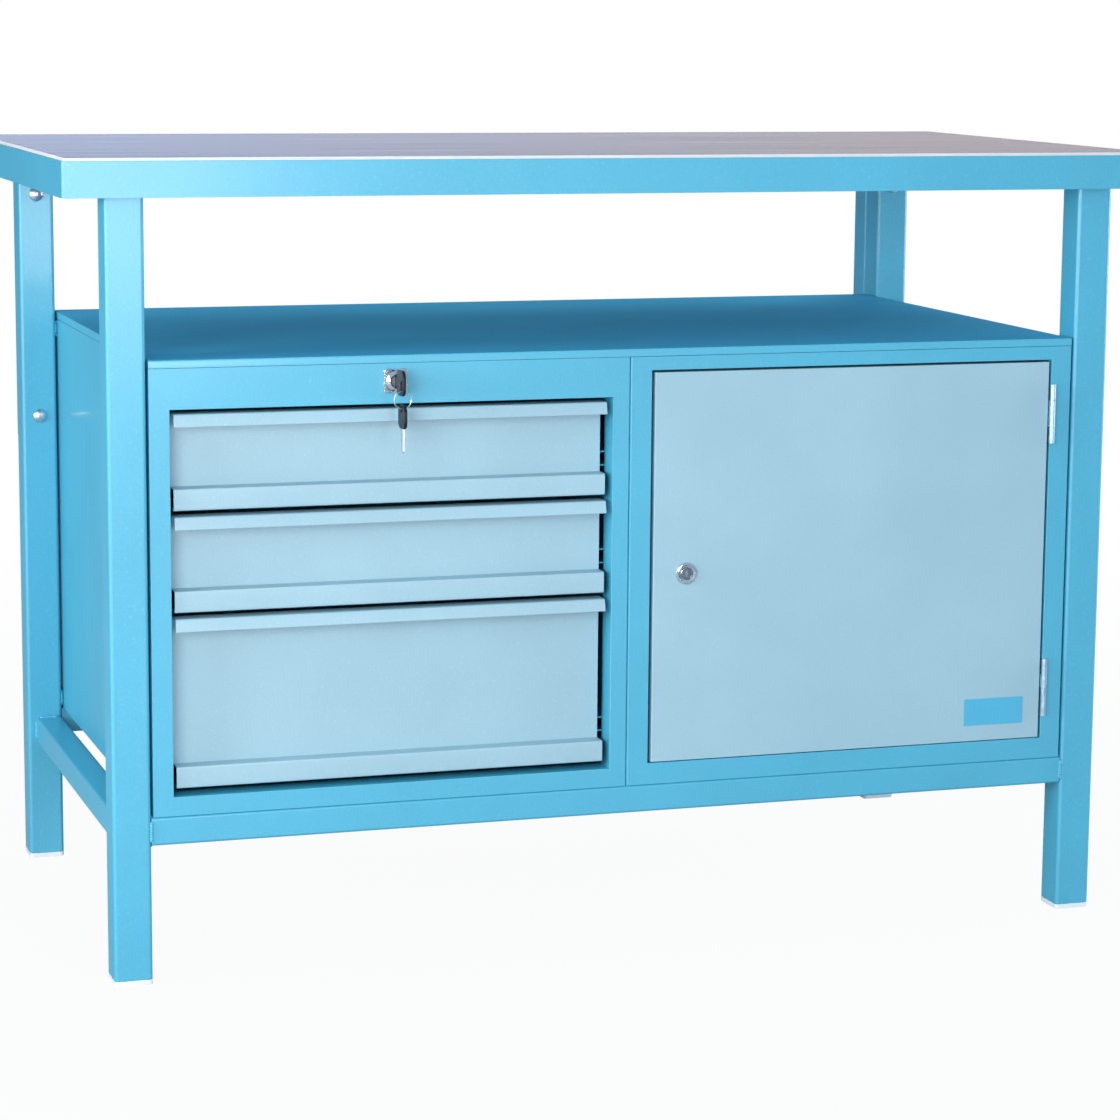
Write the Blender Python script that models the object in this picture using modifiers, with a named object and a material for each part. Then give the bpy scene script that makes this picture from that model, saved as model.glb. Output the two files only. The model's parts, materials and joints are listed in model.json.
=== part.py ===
"""Steel workbench: a boarded top, an open shelf space, three drawers and one door.

Metres, +Z up. In this file x is measured from the middle of the bench, y from the front of the
worktop's rim towards the back, and z from the floor. The root empty moves the whole bench along
y, so that the origin lies on the floor under the middle of its outline.
"""

import math

import bmesh
import bpy
from mathutils import Matrix, Vector

# Gap between faces that rest on each other or are welded together
SEAT = 0.0003

# Worktop
TOP_LENGTH = 1.200
TOP_DEPTH = 0.610
TOP_HEIGHT = 0.850
BOARD_THICKNESS = 0.036
BOARD_PROUD = 0.003
BOARD_PLAY = 0.0005
BOARD_EDGE = 0.0008
RIM_WALL = 0.003
RIM_FLANGE = 0.045
RIM_CORNER = 0.003

# Stand
LEG_SIDE = 0.040
LEG_WALL = 0.002
LEG_CORNER = 0.004
LEG_INSET_SIDE = 0.045
LEG_INSET_FRONT = 0.020
FOOT_THICKNESS = 0.005
FOOT_PLUG = 0.015
FOOT_PLAY = 0.0004
RAIL_SIDE = 0.030
RAIL_WALL = 0.002
RAIL_CORNER = 0.003
SIDE_RAIL_BOTTOM = 0.139
FRONT_RAIL_BOTTOM = 0.146
FRONT_RAIL_SETBACK = 0.001
REAR_RAIL_SETBACK = 0.005

# Posts behind the rear legs, and their coach bolts
POST_SIDE = 0.035
POST_WALL = 0.002
POST_CORNER = 0.003
POST_BOTTOM = 0.497
POST_TOP_DROP = 0.005
UPPER_BOLT_DROP = 0.067
LOWER_BOLT_RISE = 0.0296
BOLT_RADIUS = 0.004
BOLT_HOLE_PLAY = 0.0003
BOLT_HEAD_RADIUS = 0.00825
BOLT_HEAD_HEIGHT = 0.0045
BOLT_END = 0.0035
NUT_WIDTH = 0.013
NUT_THICKNESS = 0.0065

# Cabinets and the shelf sheet that covers them
SHEET = 0.0015
CABINET_FRONT = 0.021
CABINET_BACK_SETBACK = 0.010
CABINET_LEG_GAP = 0.0025
FRAME_RETURN = 0.028
SHELL_RISE = 0.0024
SHELL_TOP_FLANGE = 0.012
SHELF_HEIGHT = 0.647
SHELF_LIP = 0.0085
SHELF_FOLD = 0.002
TAB_LENGTH = 0.024
TAB_HEIGHT = 0.018
TAB_SETBACK = 0.002
TAB_LOW_RISE = 0.003

# Drawers
DRAWER_STILE = 0.0213
DRAWER_FASCIA = 0.042
DRAWER_SILL = 0.020
DRAWER_INNER_RETURN = 0.012
DRAWER_SIDE_GAP = 0.0042
DRAWER_TOP_GAP = 0.0048
DRAWER_GAP = 0.0057
DRAWER_BOTTOM_GAP = 0.0072
SMALL_FRONT = 0.0995
FRONT_SHEET = 0.0012
FRONT_FOLD = 0.0016
LIP_HEIGHT = 0.0128
LIP_LEAN = 0.0032
LIP_PROUD = 0.0014
PANEL_SETBACK = 0.023
BAND_HEIGHT = 0.023
BAND_SETBACK = 0.005
BAND_FLANGE = 0.0155
BOX_SHEET = 0.0012
BOX_SIDE_GAP = 0.0117
BOX_BACK_GAP = 0.040
BOX_RISE = 0.008
BOX_TOP_DROP = 0.0165
LARGE_BOX_TOP_DROP = 0.0285

# Runners on the cabinet's sides and slide members on the drawers
RUNNER_HEIGHT = 0.016
RUNNER_FRONT_GAP = 0.0045
RUNNER_BACK_GAP = 0.036
RUNNER_MOUTH_GAP = 0.001
RUNNER_RISE = 0.020
SLIDE_WIDTH = 0.0095

# Door
LOCK_STILE = 0.024
HINGE_STILE = 0.0235
DOOR_HEAD = 0.0147
DOOR_SILL = 0.0232
DOOR_INNER_RETURN = 0.028
DOOR_LOCK_GAP = 0.0035
DOOR_HINGE_GAP = 0.0024
DOOR_TOP_GAP = 0.0025
DOOR_BOTTOM_GAP = 0.0010
DOOR_DEPTH = 0.020
DOOR_FLANGE = 0.012
DOOR_SHEET = 0.0012
DOOR_EDGE = 0.0015
HINGE_LENGTH = 0.065
HINGE_RADIUS = 0.00315
HINGE_SIDESTEP = 0.000945
HINGE_PIN = 0.0013
HINGE_BORE = 0.0016
HINGE_MARGIN = 0.057
HINGE_WING = 0.0009
HINGE_WING_DEPTH = 0.021
UPPER_KNUCKLES = (0.27, 0.73)
LOWER_KNUCKLES = (0.49, 0.73)

# Cam lock in the door
DOOR_LOCK_INSET = 0.0374
DOOR_LOCK_DROP = 0.00595
DOOR_LOCK_ROSE = 0.012
DOOR_LOCK_PROUD = 0.0030
DOOR_ROSE_CHAMFER = 0.0012
DOOR_LOCK_BARREL = 0.009
DOOR_LOCK_LENGTH = 0.027
DOOR_PLUG_RADIUS = 0.0069
LOCK_PLAY = 0.0003
CAM_LENGTH = 0.045
CAM_WIDTH = 0.014
CAM_CORNER = 0.0047
CAM_THICKNESS = 0.002
CAM_CLEARANCE = 0.0008
CAM_EYE = 0.0085
KEYWAY_WIDTH = 0.0026

# Central lock above the drawers
DRAWER_LOCK_RISE = 0.0238
LOCK_PLATE = 0.025
LOCK_PLATE_THICKNESS = 0.0025
LOCK_NOSE = 0.0087
LOCK_BARREL = 0.0085
LOCK_DEPTH = 0.024
PLUG_RADIUS = 0.0060
PLUG_RECESS = 0.0003
SHAFT_RADIUS = 0.004
CRANK_RADIUS = 0.009
CRANK_REST = 45
CRANK_ARM_WIDTH = 0.010
CRANK_ARM_THICKNESS = 0.003
CRANK_PIN = 0.0025
CRANK_GAP = 0.0015
LOCK_BAR_WIDTH = 0.022
LOCK_BAR_THICKNESS = 0.003
LOCK_BAR_BACK_GAP = 0.009
LOCK_BAR_FOOT = 0.025
LOCK_BAR_HEAD = 0.007
BAR_SLOT_PLAY = 0.0005
HOOK_THICKNESS = 0.003
HOOK_DROP = 0.012
HOOK_CLEARANCE = 0.003
HOOK_GAP = 0.0015
CATCH_REACH = 0.0118
CATCH_HEIGHT = 0.013
CATCH_WIDTH = 0.030
CATCH_DROP = 0.002
GUIDE_WALL = 0.005
GUIDE_HEIGHT = 0.012
GUIDE_PLAY = 0.0003
BRACKET_HEIGHT = 0.026
BRACKET_LEFT_MARGIN = 0.018
BRACKET_RIGHT_MARGIN = 0.009
BRACKET_GAP = 0.0065

# Keys and their ring
BOW_HEIGHT = 0.026
BOW_LENGTH = 0.028
BOW_THICKNESS = 0.0032
BOW_CORNER = 0.008
BOW_GAP = 0.001
KEY_EYE = 0.0025
KEY_EYE_SLOT = 0.012
KEY_EYE_WALL = 0.0036
KEY_EYE_INSET = 0.0055
KEY_JOINT = 0.004
BLADE_WIDTH = 0.008
BLADE_THICKNESS = 0.002
BLADE_LENGTH = 0.025
RING_RADIUS = 0.0087
RING_WIRE = 0.0008
RING_PLAY = 0.0005
SPARE_WIDTH = 0.026
SPARE_HEIGHT = 0.0245
SPARE_EYE_WALL = 0.0025

# Facets of round shapes
CORNER_STEPS = 3
FOLD_STEPS = 2
ROUND_STEPS = 16
WIRE_STEPS = 8
SMOOTH_ANGLE = math.radians(30)

# Points closer than this are one point, and directions closer than this are one direction
SAME_PLACE = 0.000005
SAME_WAY = 0.99

# Places that follow from the sizes
HALF = TOP_LENGTH / 2
RIM_TOP = TOP_HEIGHT - BOARD_PROUD
BOARD_BOTTOM = TOP_HEIGHT - BOARD_THICKNESS
RIM_BOTTOM = BOARD_BOTTOM - SEAT - RIM_WALL
LEG_TOP = RIM_BOTTOM - SEAT
LEG_OUTER = HALF - LEG_INSET_SIDE
LEG_INNER = LEG_OUTER - LEG_SIDE
LEG_MIDDLE = LEG_OUTER - LEG_SIDE / 2
REAR_LEG_FRONT = TOP_DEPTH - LEG_SIDE
FRONT_LEG_BACK = LEG_INSET_FRONT + LEG_SIDE
POST_TOP = TOP_HEIGHT - POST_TOP_DROP
POST_BACK = TOP_DEPTH + SEAT + POST_SIDE
NUT_FRONT = POST_BACK + SEAT
BOLT_BACK = NUT_FRONT + NUT_THICKNESS + BOLT_END
BOLT_HEIGHTS = (TOP_HEIGHT - UPPER_BOLT_DROP, POST_BOTTOM + LOWER_BOLT_RISE)

CABINET_HALF = LEG_INNER - CABINET_LEG_GAP
CABINET_BACK = TOP_DEPTH - CABINET_BACK_SETBACK
CABINET_SEAM = SEAT / 2
CABINET_BOTTOM = FRONT_RAIL_BOTTOM + RAIL_SIDE + SEAT
CABINET_TOP = SHELF_HEIGHT - SHELF_LIP - SEAT
SHELL_FRONT = CABINET_FRONT + FRAME_RETURN + SEAT
SHELL_BOTTOM = CABINET_BOTTOM + SHELL_RISE

DRAWER_LEFT = -CABINET_HALF + DRAWER_STILE
DRAWER_RIGHT = -CABINET_SEAM - DRAWER_STILE
DRAWER_MIDDLE = (DRAWER_LEFT + DRAWER_RIGHT) / 2
DRAWER_CEILING = CABINET_TOP - DRAWER_FASCIA
DRAWER_FLOOR = CABINET_BOTTOM + DRAWER_SILL
BOX_FRONT = CABINET_FRONT + PANEL_SETBACK + FRONT_SHEET + SEAT
BOX_BACK = CABINET_BACK - BOX_BACK_GAP
BOX_HALF = (DRAWER_RIGHT - DRAWER_LEFT) / 2 - BOX_SIDE_GAP
RUNNER_FRONT = BOX_FRONT + RUNNER_FRONT_GAP
RUNNER_BACK = CABINET_BACK - RUNNER_BACK_GAP

DOOR_OPENING_LEFT = CABINET_SEAM + LOCK_STILE
DOOR_OPENING_RIGHT = CABINET_HALF - HINGE_STILE
DOOR_CEILING = CABINET_TOP - DOOR_HEAD
DOOR_FLOOR = CABINET_BOTTOM + DOOR_SILL
DOOR_LEFT = DOOR_OPENING_LEFT + DOOR_LOCK_GAP
DOOR_RIGHT = DOOR_OPENING_RIGHT - DOOR_HINGE_GAP
DOOR_TOP = DOOR_CEILING - DOOR_TOP_GAP
DOOR_BOTTOM = DOOR_FLOOR + DOOR_BOTTOM_GAP
HINGE_X = DOOR_OPENING_RIGHT + HINGE_SIDESTEP
HINGE_Y = CABINET_FRONT - SEAT - HINGE_RADIUS
DOOR_LOCK_X = DOOR_LEFT + DOOR_LOCK_INSET
DOOR_LOCK_HEIGHT = (DOOR_BOTTOM + DOOR_TOP) / 2 - DOOR_LOCK_DROP
CAM_FRONT = CABINET_FRONT + DOOR_INNER_RETURN + CAM_CLEARANCE

LOCK_X = DRAWER_MIDDLE
DRAWER_LOCK_HEIGHT = DRAWER_CEILING + DRAWER_LOCK_RISE
LOCK_FACE = CABINET_FRONT - SEAT - LOCK_NOSE
LOCK_BACK = CABINET_FRONT + LOCK_DEPTH
PLUG_FACE = LOCK_FACE + PLUG_RECESS
KEYWAY_BACK = PLUG_FACE + BLADE_LENGTH
BAR_BACK = CABINET_BACK - LOCK_BAR_BACK_GAP
BAR_FRONT = BAR_BACK - LOCK_BAR_THICKNESS
CRANK_BACK = BAR_FRONT - CRANK_GAP
CRANK_FRONT = CRANK_BACK - CRANK_ARM_THICKNESS
CRANK_SIDE = CRANK_RADIUS * math.cos(math.radians(CRANK_REST))
BAR_TRAVEL = 2 * CRANK_SIDE
BAR_X = LOCK_X + (CRANK_SIDE + CRANK_RADIUS) / 2
SLOT_HEIGHT = DRAWER_LOCK_HEIGHT + CRANK_SIDE
CATCH_BACK = BOX_BACK + CATCH_REACH + BOX_SHEET
HOOK_BACK = CATCH_BACK - BOX_SHEET - HOOK_GAP
HOOK_FRONT = HOOK_BACK - HOOK_THICKNESS

BOW_BACK = LOCK_FACE - BOW_GAP
BOW_FRONT = BOW_BACK - BOW_LENGTH
EYE_Y = BOW_FRONT + KEY_EYE + KEY_EYE_INSET
EYE_Z = DRAWER_LOCK_HEIGHT - BOW_HEIGHT / 2 + KEY_EYE_WALL + KEY_EYE
RING_TOP = EYE_Z - KEY_EYE + RING_PLAY + RING_WIRE
RING_MIDDLE = RING_TOP - RING_RADIUS
RING_BOTTOM = RING_MIDDLE - RING_RADIUS
SPARE_EYE_Z = RING_BOTTOM + RING_WIRE + RING_PLAY - KEY_EYE
SPARE_TOP = SPARE_EYE_Z + KEY_EYE + SPARE_EYE_WALL

FRONT_END = min(BOW_FRONT, EYE_Y - SPARE_WIDTH / 2)
Y_MIDDLE = (FRONT_END + BOLT_BACK) / 2

# How an outline's plane, and the axis across it, lie in the bench
ACROSS = {
    "Z": Matrix.Identity(4),
    "Y": Matrix.Rotation(math.radians(90), 4, "X"),
    "X": Matrix(((0, 0, 1, 0), (1, 0, 0, 0), (0, 1, 0, 0), (0, 0, 0, 1))),
}
QUARTER_TURN = math.radians(90)
TURN_TO_Y = (-QUARTER_TURN, 0.0, 0.0)


class Bench:
    """The collections, the root empty and the materials that the pieces are put into."""

    def __init__(self):
        for obj in list(bpy.data.objects):
            bpy.data.objects.remove(obj, do_unlink=True)
        self.parts = self.collection("workbench")
        self.tools = self.collection("cutters")
        self.root = bpy.data.objects.new("bench_root", None)
        self.root.location = (0.0, -Y_MIDDLE, 0.0)
        self.parts.objects.link(self.root)
        self.blue = self.material("stand_paint", (0.07, 0.42, 0.66), 0.38)
        self.pale = self.material("front_paint", (0.36, 0.60, 0.74), 0.45)
        self.wood = self.material("board", (0.42, 0.40, 0.42), 0.50)
        self.plastic = self.material("foot_plastic", (0.75, 0.78, 0.80), 0.55)
        self.black = self.material("key_plastic", (0.02, 0.02, 0.025), 0.45)
        self.zinc = self.material("zinc", (0.68, 0.70, 0.72), 0.35, 0.9)
        self.chrome = self.material("chrome", (0.80, 0.82, 0.85), 0.15, 1.0)
        self.hinge_steel = self.material("hinge_steel", (0.62, 0.72, 0.80), 0.35, 0.6)

    def collection(self, name):
        group = bpy.data.collections.new(name)
        bpy.context.scene.collection.children.link(group)
        return group

    def material(self, name, colour, roughness, metallic=0.0):
        made = bpy.data.materials.new(name)
        made.use_nodes = True
        shader = made.node_tree.nodes["Principled BSDF"]
        shader.inputs["Base Color"].default_value = (*colour, 1.0)
        shader.inputs["Roughness"].default_value = roughness
        shader.inputs["Metallic"].default_value = metallic
        return made

    def place_of(self, obj):
        """The place of an object's origin in the bench's coordinates."""
        place = Vector()
        while obj is not None and obj != self.root:
            place += obj.location
            obj = obj.parent
        return place

    def pivot(self, name, point, parent=None):
        """An empty on the axis of something that moves."""
        empty = bpy.data.objects.new(name, None)
        empty.empty_display_size = 0.02
        self.hang(empty, point, parent)
        self.parts.objects.link(empty)
        return empty

    def hang(self, obj, point, parent):
        obj.parent = parent or self.root
        obj.location = Vector(point) - self.place_of(obj.parent)

    def piece(self, name, shape, material, parent=None, point=None):
        """A named sub-part from a shape in the bench's coordinates.

        Its origin lies on its parent pivot, or else in the middle of the shape.
        """
        if point is None:
            point = self.place_of(parent) if parent else middle(shape)
        shape.transform(Matrix.Translation(-Vector(point)))
        mesh = bpy.data.meshes.new(name)
        shape.to_mesh(mesh)
        shape.free()
        mesh.materials.append(material)
        obj = bpy.data.objects.new(name, mesh)
        self.hang(obj, point, parent)
        self.parts.objects.link(obj)
        return obj

    def copy(self, name, source, point, turn=0.0):
        """One more piece on the mesh of another, turned about its own Z."""
        obj = bpy.data.objects.new(name, source.data)
        self.hang(obj, point, None)
        obj.rotation_euler = (0.0, 0.0, turn)
        self.parts.objects.link(obj)
        return obj

    def tool(self, name, shape):
        """A shape that cuts or joins a piece and isn't a piece itself."""
        obj = self.piece(name, shape, self.blue)
        self.parts.objects.unlink(obj)
        self.tools.objects.link(obj)
        obj.hide_render = True
        obj.display_type = "WIRE"
        return obj

    def turned(self, name, profile, material, point, along_y=False, closed=False, parent=None):
        """A profile of radius and height, turned about the axis through a point."""
        shape = bmesh.new()
        corners = [shape.verts.new((radius, 0.0, height)) for radius, height in profile]
        for pair in zip(corners, corners[1:]):
            shape.edges.new(pair)
        if closed:
            shape.edges.new((corners[-1], corners[0]))
        obj = self.piece(name, shape, material, parent, (0.0, 0.0, 0.0))
        self.hang(obj, point, parent)
        if along_y:
            obj.rotation_euler = TURN_TO_Y
        screw = obj.modifiers.new("turned", "SCREW")
        screw.axis = "Z"
        screw.steps = ROUND_STEPS
        screw.render_steps = ROUND_STEPS
        screw.use_merge_vertices = True
        screw.merge_threshold = SAME_PLACE
        return obj


def middle(shape):
    """The middle of a shape's bounding box."""
    low = Vector(min(vert.co[axis] for vert in shape.verts) for axis in range(3))
    high = Vector(max(vert.co[axis] for vert in shape.verts) for axis in range(3))
    return (low + high) / 2


def box(low, high):
    """A closed box between two corners."""
    low = Vector(low)
    high = Vector(high)
    shape = bmesh.new()
    place = Matrix.Translation((low + high) / 2) @ Matrix.Diagonal((*(high - low), 1.0))
    bmesh.ops.create_cube(shape, size=1.0, matrix=place)
    shape.normal_update()
    return shape


def rod(point, radius, low, high, steps=ROUND_STEPS):
    """A closed cylinder along Y through a point of x and z, between two places on Y."""
    x, z = point
    shape = bmesh.new()
    place = Matrix.Translation((x, (low + high) / 2, z)) @ ACROSS["Y"]
    bmesh.ops.create_cone(
        shape, cap_ends=True, segments=steps, radius1=radius, radius2=radius, depth=high - low, matrix=place
    )
    return shape


def faces_towards(shape, direction):
    direction = Vector(direction)
    return [face for face in shape.faces if face.normal.dot(direction) > SAME_WAY]


def open_side(shape, direction):
    """Take away the faces that look in a direction."""
    bmesh.ops.delete(shape, geom=faces_towards(shape, direction), context="FACES")


def narrow_side(shape, direction, width):
    """Leave only a flange of some width round the edge of one side."""
    faces = faces_towards(shape, direction)
    bmesh.ops.inset_region(shape, faces=faces, thickness=width, use_even_offset=True)
    bmesh.ops.delete(shape, geom=faces, context="FACES")


def round_edges(shape, axis, radius, steps=CORNER_STEPS, where=None):
    """Round the edges that run along an axis, or those of them that pass a test."""
    edges = []
    for edge in shape.edges:
        run = (edge.verts[0].co - edge.verts[1].co).normalized()
        if abs(run[axis]) > SAME_WAY and (where is None or where(edge)):
            edges.append(edge)
    bmesh.ops.bevel(shape, geom=edges, offset=radius, segments=steps, profile=0.5, affect="EDGES")
    shape.normal_update()


def solidify(piece, thickness):
    """Give an open surface its thickness, on the side away from its normals."""
    sheet = piece.modifiers.new("sheet", "SOLIDIFY")
    sheet.thickness = thickness
    sheet.offset = -1.0
    sheet.use_even_offset = True


def combine(piece, tool, operation):
    change = piece.modifiers.new(operation.lower(), "BOOLEAN")
    change.operation = operation
    change.solver = "EXACT"
    change.object = tool


def cut(piece, tool):
    combine(piece, tool, "DIFFERENCE")


def join(piece, tool):
    combine(piece, tool, "UNION")


def outline(loops, across, low, high):
    """A flat outline with its holes, drawn out between two places on the axis across it."""
    curve = bpy.data.curves.new("outline", "CURVE")
    curve.dimensions = "2D"
    curve.fill_mode = "BOTH"
    curve.extrude = (high - low) / 2
    for loop in loops:
        spline = curve.splines.new("POLY")
        spline.points.add(len(loop) - 1)
        for point, (u, v) in zip(spline.points, loop):
            point.co = (u, v, 0.0, 1.0)
        spline.use_cyclic_u = True
    obj = bpy.data.objects.new("outline", curve)
    bpy.context.scene.collection.objects.link(obj)
    evaluated = obj.evaluated_get(bpy.context.evaluated_depsgraph_get())
    mesh = bpy.data.meshes.new_from_object(evaluated)
    bpy.data.objects.remove(obj)
    bpy.data.curves.remove(curve)
    shape = bmesh.new()
    shape.from_mesh(mesh)
    bpy.data.meshes.remove(mesh)
    bmesh.ops.remove_doubles(shape, verts=shape.verts, dist=SAME_PLACE)
    shape.transform(Matrix.Translation((0.0, 0.0, span_middle(across, low, high))))
    shape.transform(ACROSS[across])
    bmesh.ops.recalc_face_normals(shape, faces=shape.faces)
    return shape


def span_middle(across, low, high):
    """The middle of a span before its plane is turned: Y runs the other way there."""
    return -(low + high) / 2 if across == "Y" else (low + high) / 2


def folded(path, across, low, high, fold=0.0):
    """The surface of a folded sheet, whose outer side lies on the left of its path."""
    start = span_middle(across, low, high) - (high - low) / 2
    shape = bmesh.new()
    corners = [shape.verts.new((u, v, start)) for u, v in path]
    edges = [shape.edges.new(pair) for pair in zip(corners, corners[1:])]
    grown = bmesh.ops.extrude_edge_only(shape, edges=edges)["geom"]
    drawn = [item for item in grown if isinstance(item, bmesh.types.BMVert)]
    bmesh.ops.translate(shape, verts=drawn, vec=(0.0, 0.0, high - low))
    shape.normal_update()
    left = Vector((path[0][1] - path[1][1], path[1][0] - path[0][0], 0.0))
    first = next(face for face in shape.faces if corners[0] in face.verts)
    if first.normal.dot(left) < 0:
        bmesh.ops.reverse_faces(shape, faces=shape.faces)
    if fold:
        creases = [edge for edge in shape.edges if len(edge.link_faces) == 2]
        bmesh.ops.bevel(shape, geom=creases, offset=fold, segments=FOLD_STEPS, profile=0.5, affect="EDGES")
    shape.transform(ACROSS[across])
    shape.normal_update()
    return shape


def rounded_rectangle(low, high, radius, steps=CORNER_STEPS):
    """A rectangle's outline with round corners, counter-clockwise."""
    loop = []
    centres = (
        (high[0] - radius, high[1] - radius),
        (low[0] + radius, high[1] - radius),
        (low[0] + radius, low[1] + radius),
        (high[0] - radius, low[1] + radius),
    )
    for quarter, (u, v) in enumerate(centres):
        for step in range(steps + 1):
            angle = math.radians(90 * (quarter + step / steps))
            loop.append((u + radius * math.cos(angle), v + radius * math.sin(angle)))
    return loop


def rim_plan(length, depth):
    """Plan of one mitred strip of the rim, its outer side along y = 0, round at its corners."""
    half = length / 2
    mitre = SEAT / math.sqrt(2)
    right = []
    for step in range(CORNER_STEPS + 1):
        angle = math.radians(45 * step / CORNER_STEPS - 90)
        x = half - RIM_CORNER + RIM_CORNER * math.cos(angle)
        y = RIM_CORNER + RIM_CORNER * math.sin(angle)
        right.append((x, y))
    right.append((half - depth, depth))
    right = [(min(x, half - y - mitre), y) for x, y in right]
    left = [(-x, y) for x, y in reversed(right)]
    return left + right


def worktop(bench):
    """The board, and the steel angles that carry and frame it."""
    edge = RIM_WALL + BOARD_PLAY
    board = box(
        (-HALF + edge, edge, BOARD_BOTTOM),
        (HALF - edge, TOP_DEPTH - edge, TOP_HEIGHT),
    )
    upper = TOP_HEIGHT - BOARD_EDGE / 2
    for axis in (0, 1):
        round_edges(board, axis, BOARD_EDGE, 1, lambda edge: edge.verts[0].co.z > upper)
    bench.piece("worktop_board", board, bench.wood)

    sides = (
        ("rim_front", TOP_LENGTH, (0.0, 0.0), 0),
        ("rim_rear", TOP_LENGTH, (0.0, TOP_DEPTH), 180),
        ("rim_left", TOP_DEPTH, (-HALF, TOP_DEPTH / 2), -90),
        ("rim_right", TOP_DEPTH, (HALF, TOP_DEPTH / 2), 90),
    )
    for name, length, (x, y), turn in sides:
        wall = outline([rim_plan(length, RIM_WALL)], "Z", RIM_BOTTOM, RIM_TOP)
        flange = outline([rim_plan(length, RIM_FLANGE)], "Z", RIM_BOTTOM, RIM_BOTTOM + RIM_WALL)
        member = bench.piece(name, wall, bench.blue, point=(0.0, 0.0, 0.0))
        strip = bench.tool(name + "_flange", flange)
        place = Matrix.Translation((x, y, 0.0)) @ Matrix.Rotation(math.radians(turn), 4, "Z")
        for obj in (member, strip):
            spot = place @ obj.location
            obj.location = spot
            obj.rotation_euler = (0.0, 0.0, math.radians(turn))
        join(member, strip)


def square_tube(bench, name, low, high, axis, wall, corner, capped=False):
    """A square tube along an axis, open at its ends or capped at the upper one."""
    shape = box(low, high)
    round_edges(shape, axis, corner)
    along = Vector((0.0, 0.0, 0.0))
    along[axis] = 1.0
    open_side(shape, -along)
    if not capped:
        open_side(shape, along)
    tube = bench.piece(name, shape, bench.blue)
    solidify(tube, wall)
    return tube


def bolt_holes(bench, name, side, low, high):
    """Cutters for both bolts of one side, through whatever lies between two places on Y."""
    holes = []
    for level, height in zip(("upper", "lower"), BOLT_HEIGHTS):
        shape = rod((side * LEG_MIDDLE, height), BOLT_RADIUS + BOLT_HOLE_PLAY, low, high)
        holes.append(bench.tool(f"{name}_{level}_hole", shape))
    return holes


def stand(bench):
    """Four legs with foot caps, and the rails between them."""
    rows = (("front", LEG_INSET_FRONT), ("rear", REAR_LEG_FRONT))
    sides = (("left", -1), ("right", 1))
    foot = None
    for row, y in rows:
        for side, sign in sides:
            x_low, x_high = sorted((sign * LEG_INNER, sign * LEG_OUTER))
            low = (x_low, y, FOOT_THICKNESS + SEAT)
            high = (x_high, y + LEG_SIDE, LEG_TOP)
            leg = square_tube(bench, f"leg_{row}_{side}", low, high, 2, LEG_WALL, LEG_CORNER)
            if row == "rear":
                for hole in bolt_holes(bench, leg.name, sign, y - LEG_WALL, TOP_DEPTH + LEG_WALL):
                    cut(leg, hole)
            point = (sign * LEG_MIDDLE, y + LEG_SIDE / 2, 0.0)
            if foot is None:
                foot = bench.piece(f"foot_cap_{row}_{side}", foot_cap(point), bench.plastic, point=point)
            else:
                bench.copy(f"foot_cap_{row}_{side}", foot, point)

    for side, sign in sides:
        x_low, x_high = sorted((sign * LEG_INNER, sign * (LEG_INNER + RAIL_SIDE)))
        low = (x_low, FRONT_LEG_BACK + SEAT, SIDE_RAIL_BOTTOM)
        high = (x_high, REAR_LEG_FRONT - SEAT, SIDE_RAIL_BOTTOM + RAIL_SIDE)
        square_tube(bench, f"side_rail_{side}", low, high, 1, RAIL_WALL, RAIL_CORNER)

    reach = LEG_INNER - SEAT
    front = LEG_INSET_FRONT + FRONT_RAIL_SETBACK
    square_tube(
        bench, "front_rail", (-reach, front, FRONT_RAIL_BOTTOM),
        (reach, front + RAIL_SIDE, FRONT_RAIL_BOTTOM + RAIL_SIDE), 0, RAIL_WALL, RAIL_CORNER,
    )
    back = TOP_DEPTH - REAR_RAIL_SETBACK
    top = SHELL_BOTTOM - SEAT
    square_tube(
        bench, "rear_rail", (-reach, back - RAIL_SIDE, top - RAIL_SIDE), (reach, back, top),
        0, RAIL_WALL, RAIL_CORNER,
    )


def foot_cap(point):
    """A plastic cap: a foot as wide as the leg, and a plug that sits inside the tube."""
    x, y, _ = point
    half = LEG_SIDE / 2
    shape = box((x - half, y - half, 0.0), (x + half, y + half, FOOT_THICKNESS))
    round_edges(shape, 2, LEG_CORNER)
    top = faces_towards(shape, (0, 0, 1))
    bmesh.ops.inset_region(shape, faces=top, thickness=LEG_WALL + FOOT_PLAY, use_even_offset=True)
    plug = bmesh.ops.extrude_face_region(shape, geom=top)["geom"]
    raised = [item for item in plug if isinstance(item, bmesh.types.BMVert)]
    bmesh.ops.translate(shape, verts=raised, vec=(0.0, 0.0, FOOT_PLUG))
    bmesh.ops.delete(shape, geom=top, context="FACES_ONLY")
    bmesh.ops.recalc_face_normals(shape, faces=shape.faces)
    return shape


def posts(bench):
    """The square posts behind the rear legs, and the coach bolts that hold them."""
    for side, sign in (("left", -1), ("right", 1)):
        x_low, x_high = sorted((sign * LEG_INNER, sign * (LEG_INNER + POST_SIDE)))
        low = (x_low, TOP_DEPTH + SEAT, POST_BOTTOM)
        high = (x_high, POST_BACK, POST_TOP)
        post = square_tube(bench, f"rear_post_{side}", low, high, 2, POST_WALL, POST_CORNER, True)
        for hole in bolt_holes(bench, post.name, sign, TOP_DEPTH - POST_WALL, POST_BACK + POST_WALL):
            cut(post, hole)
        for level, height in zip(("upper", "lower"), BOLT_HEIGHTS):
            coach_bolt(bench, f"coach_bolt_{side}_{level}", sign * LEG_MIDDLE, height)


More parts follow.
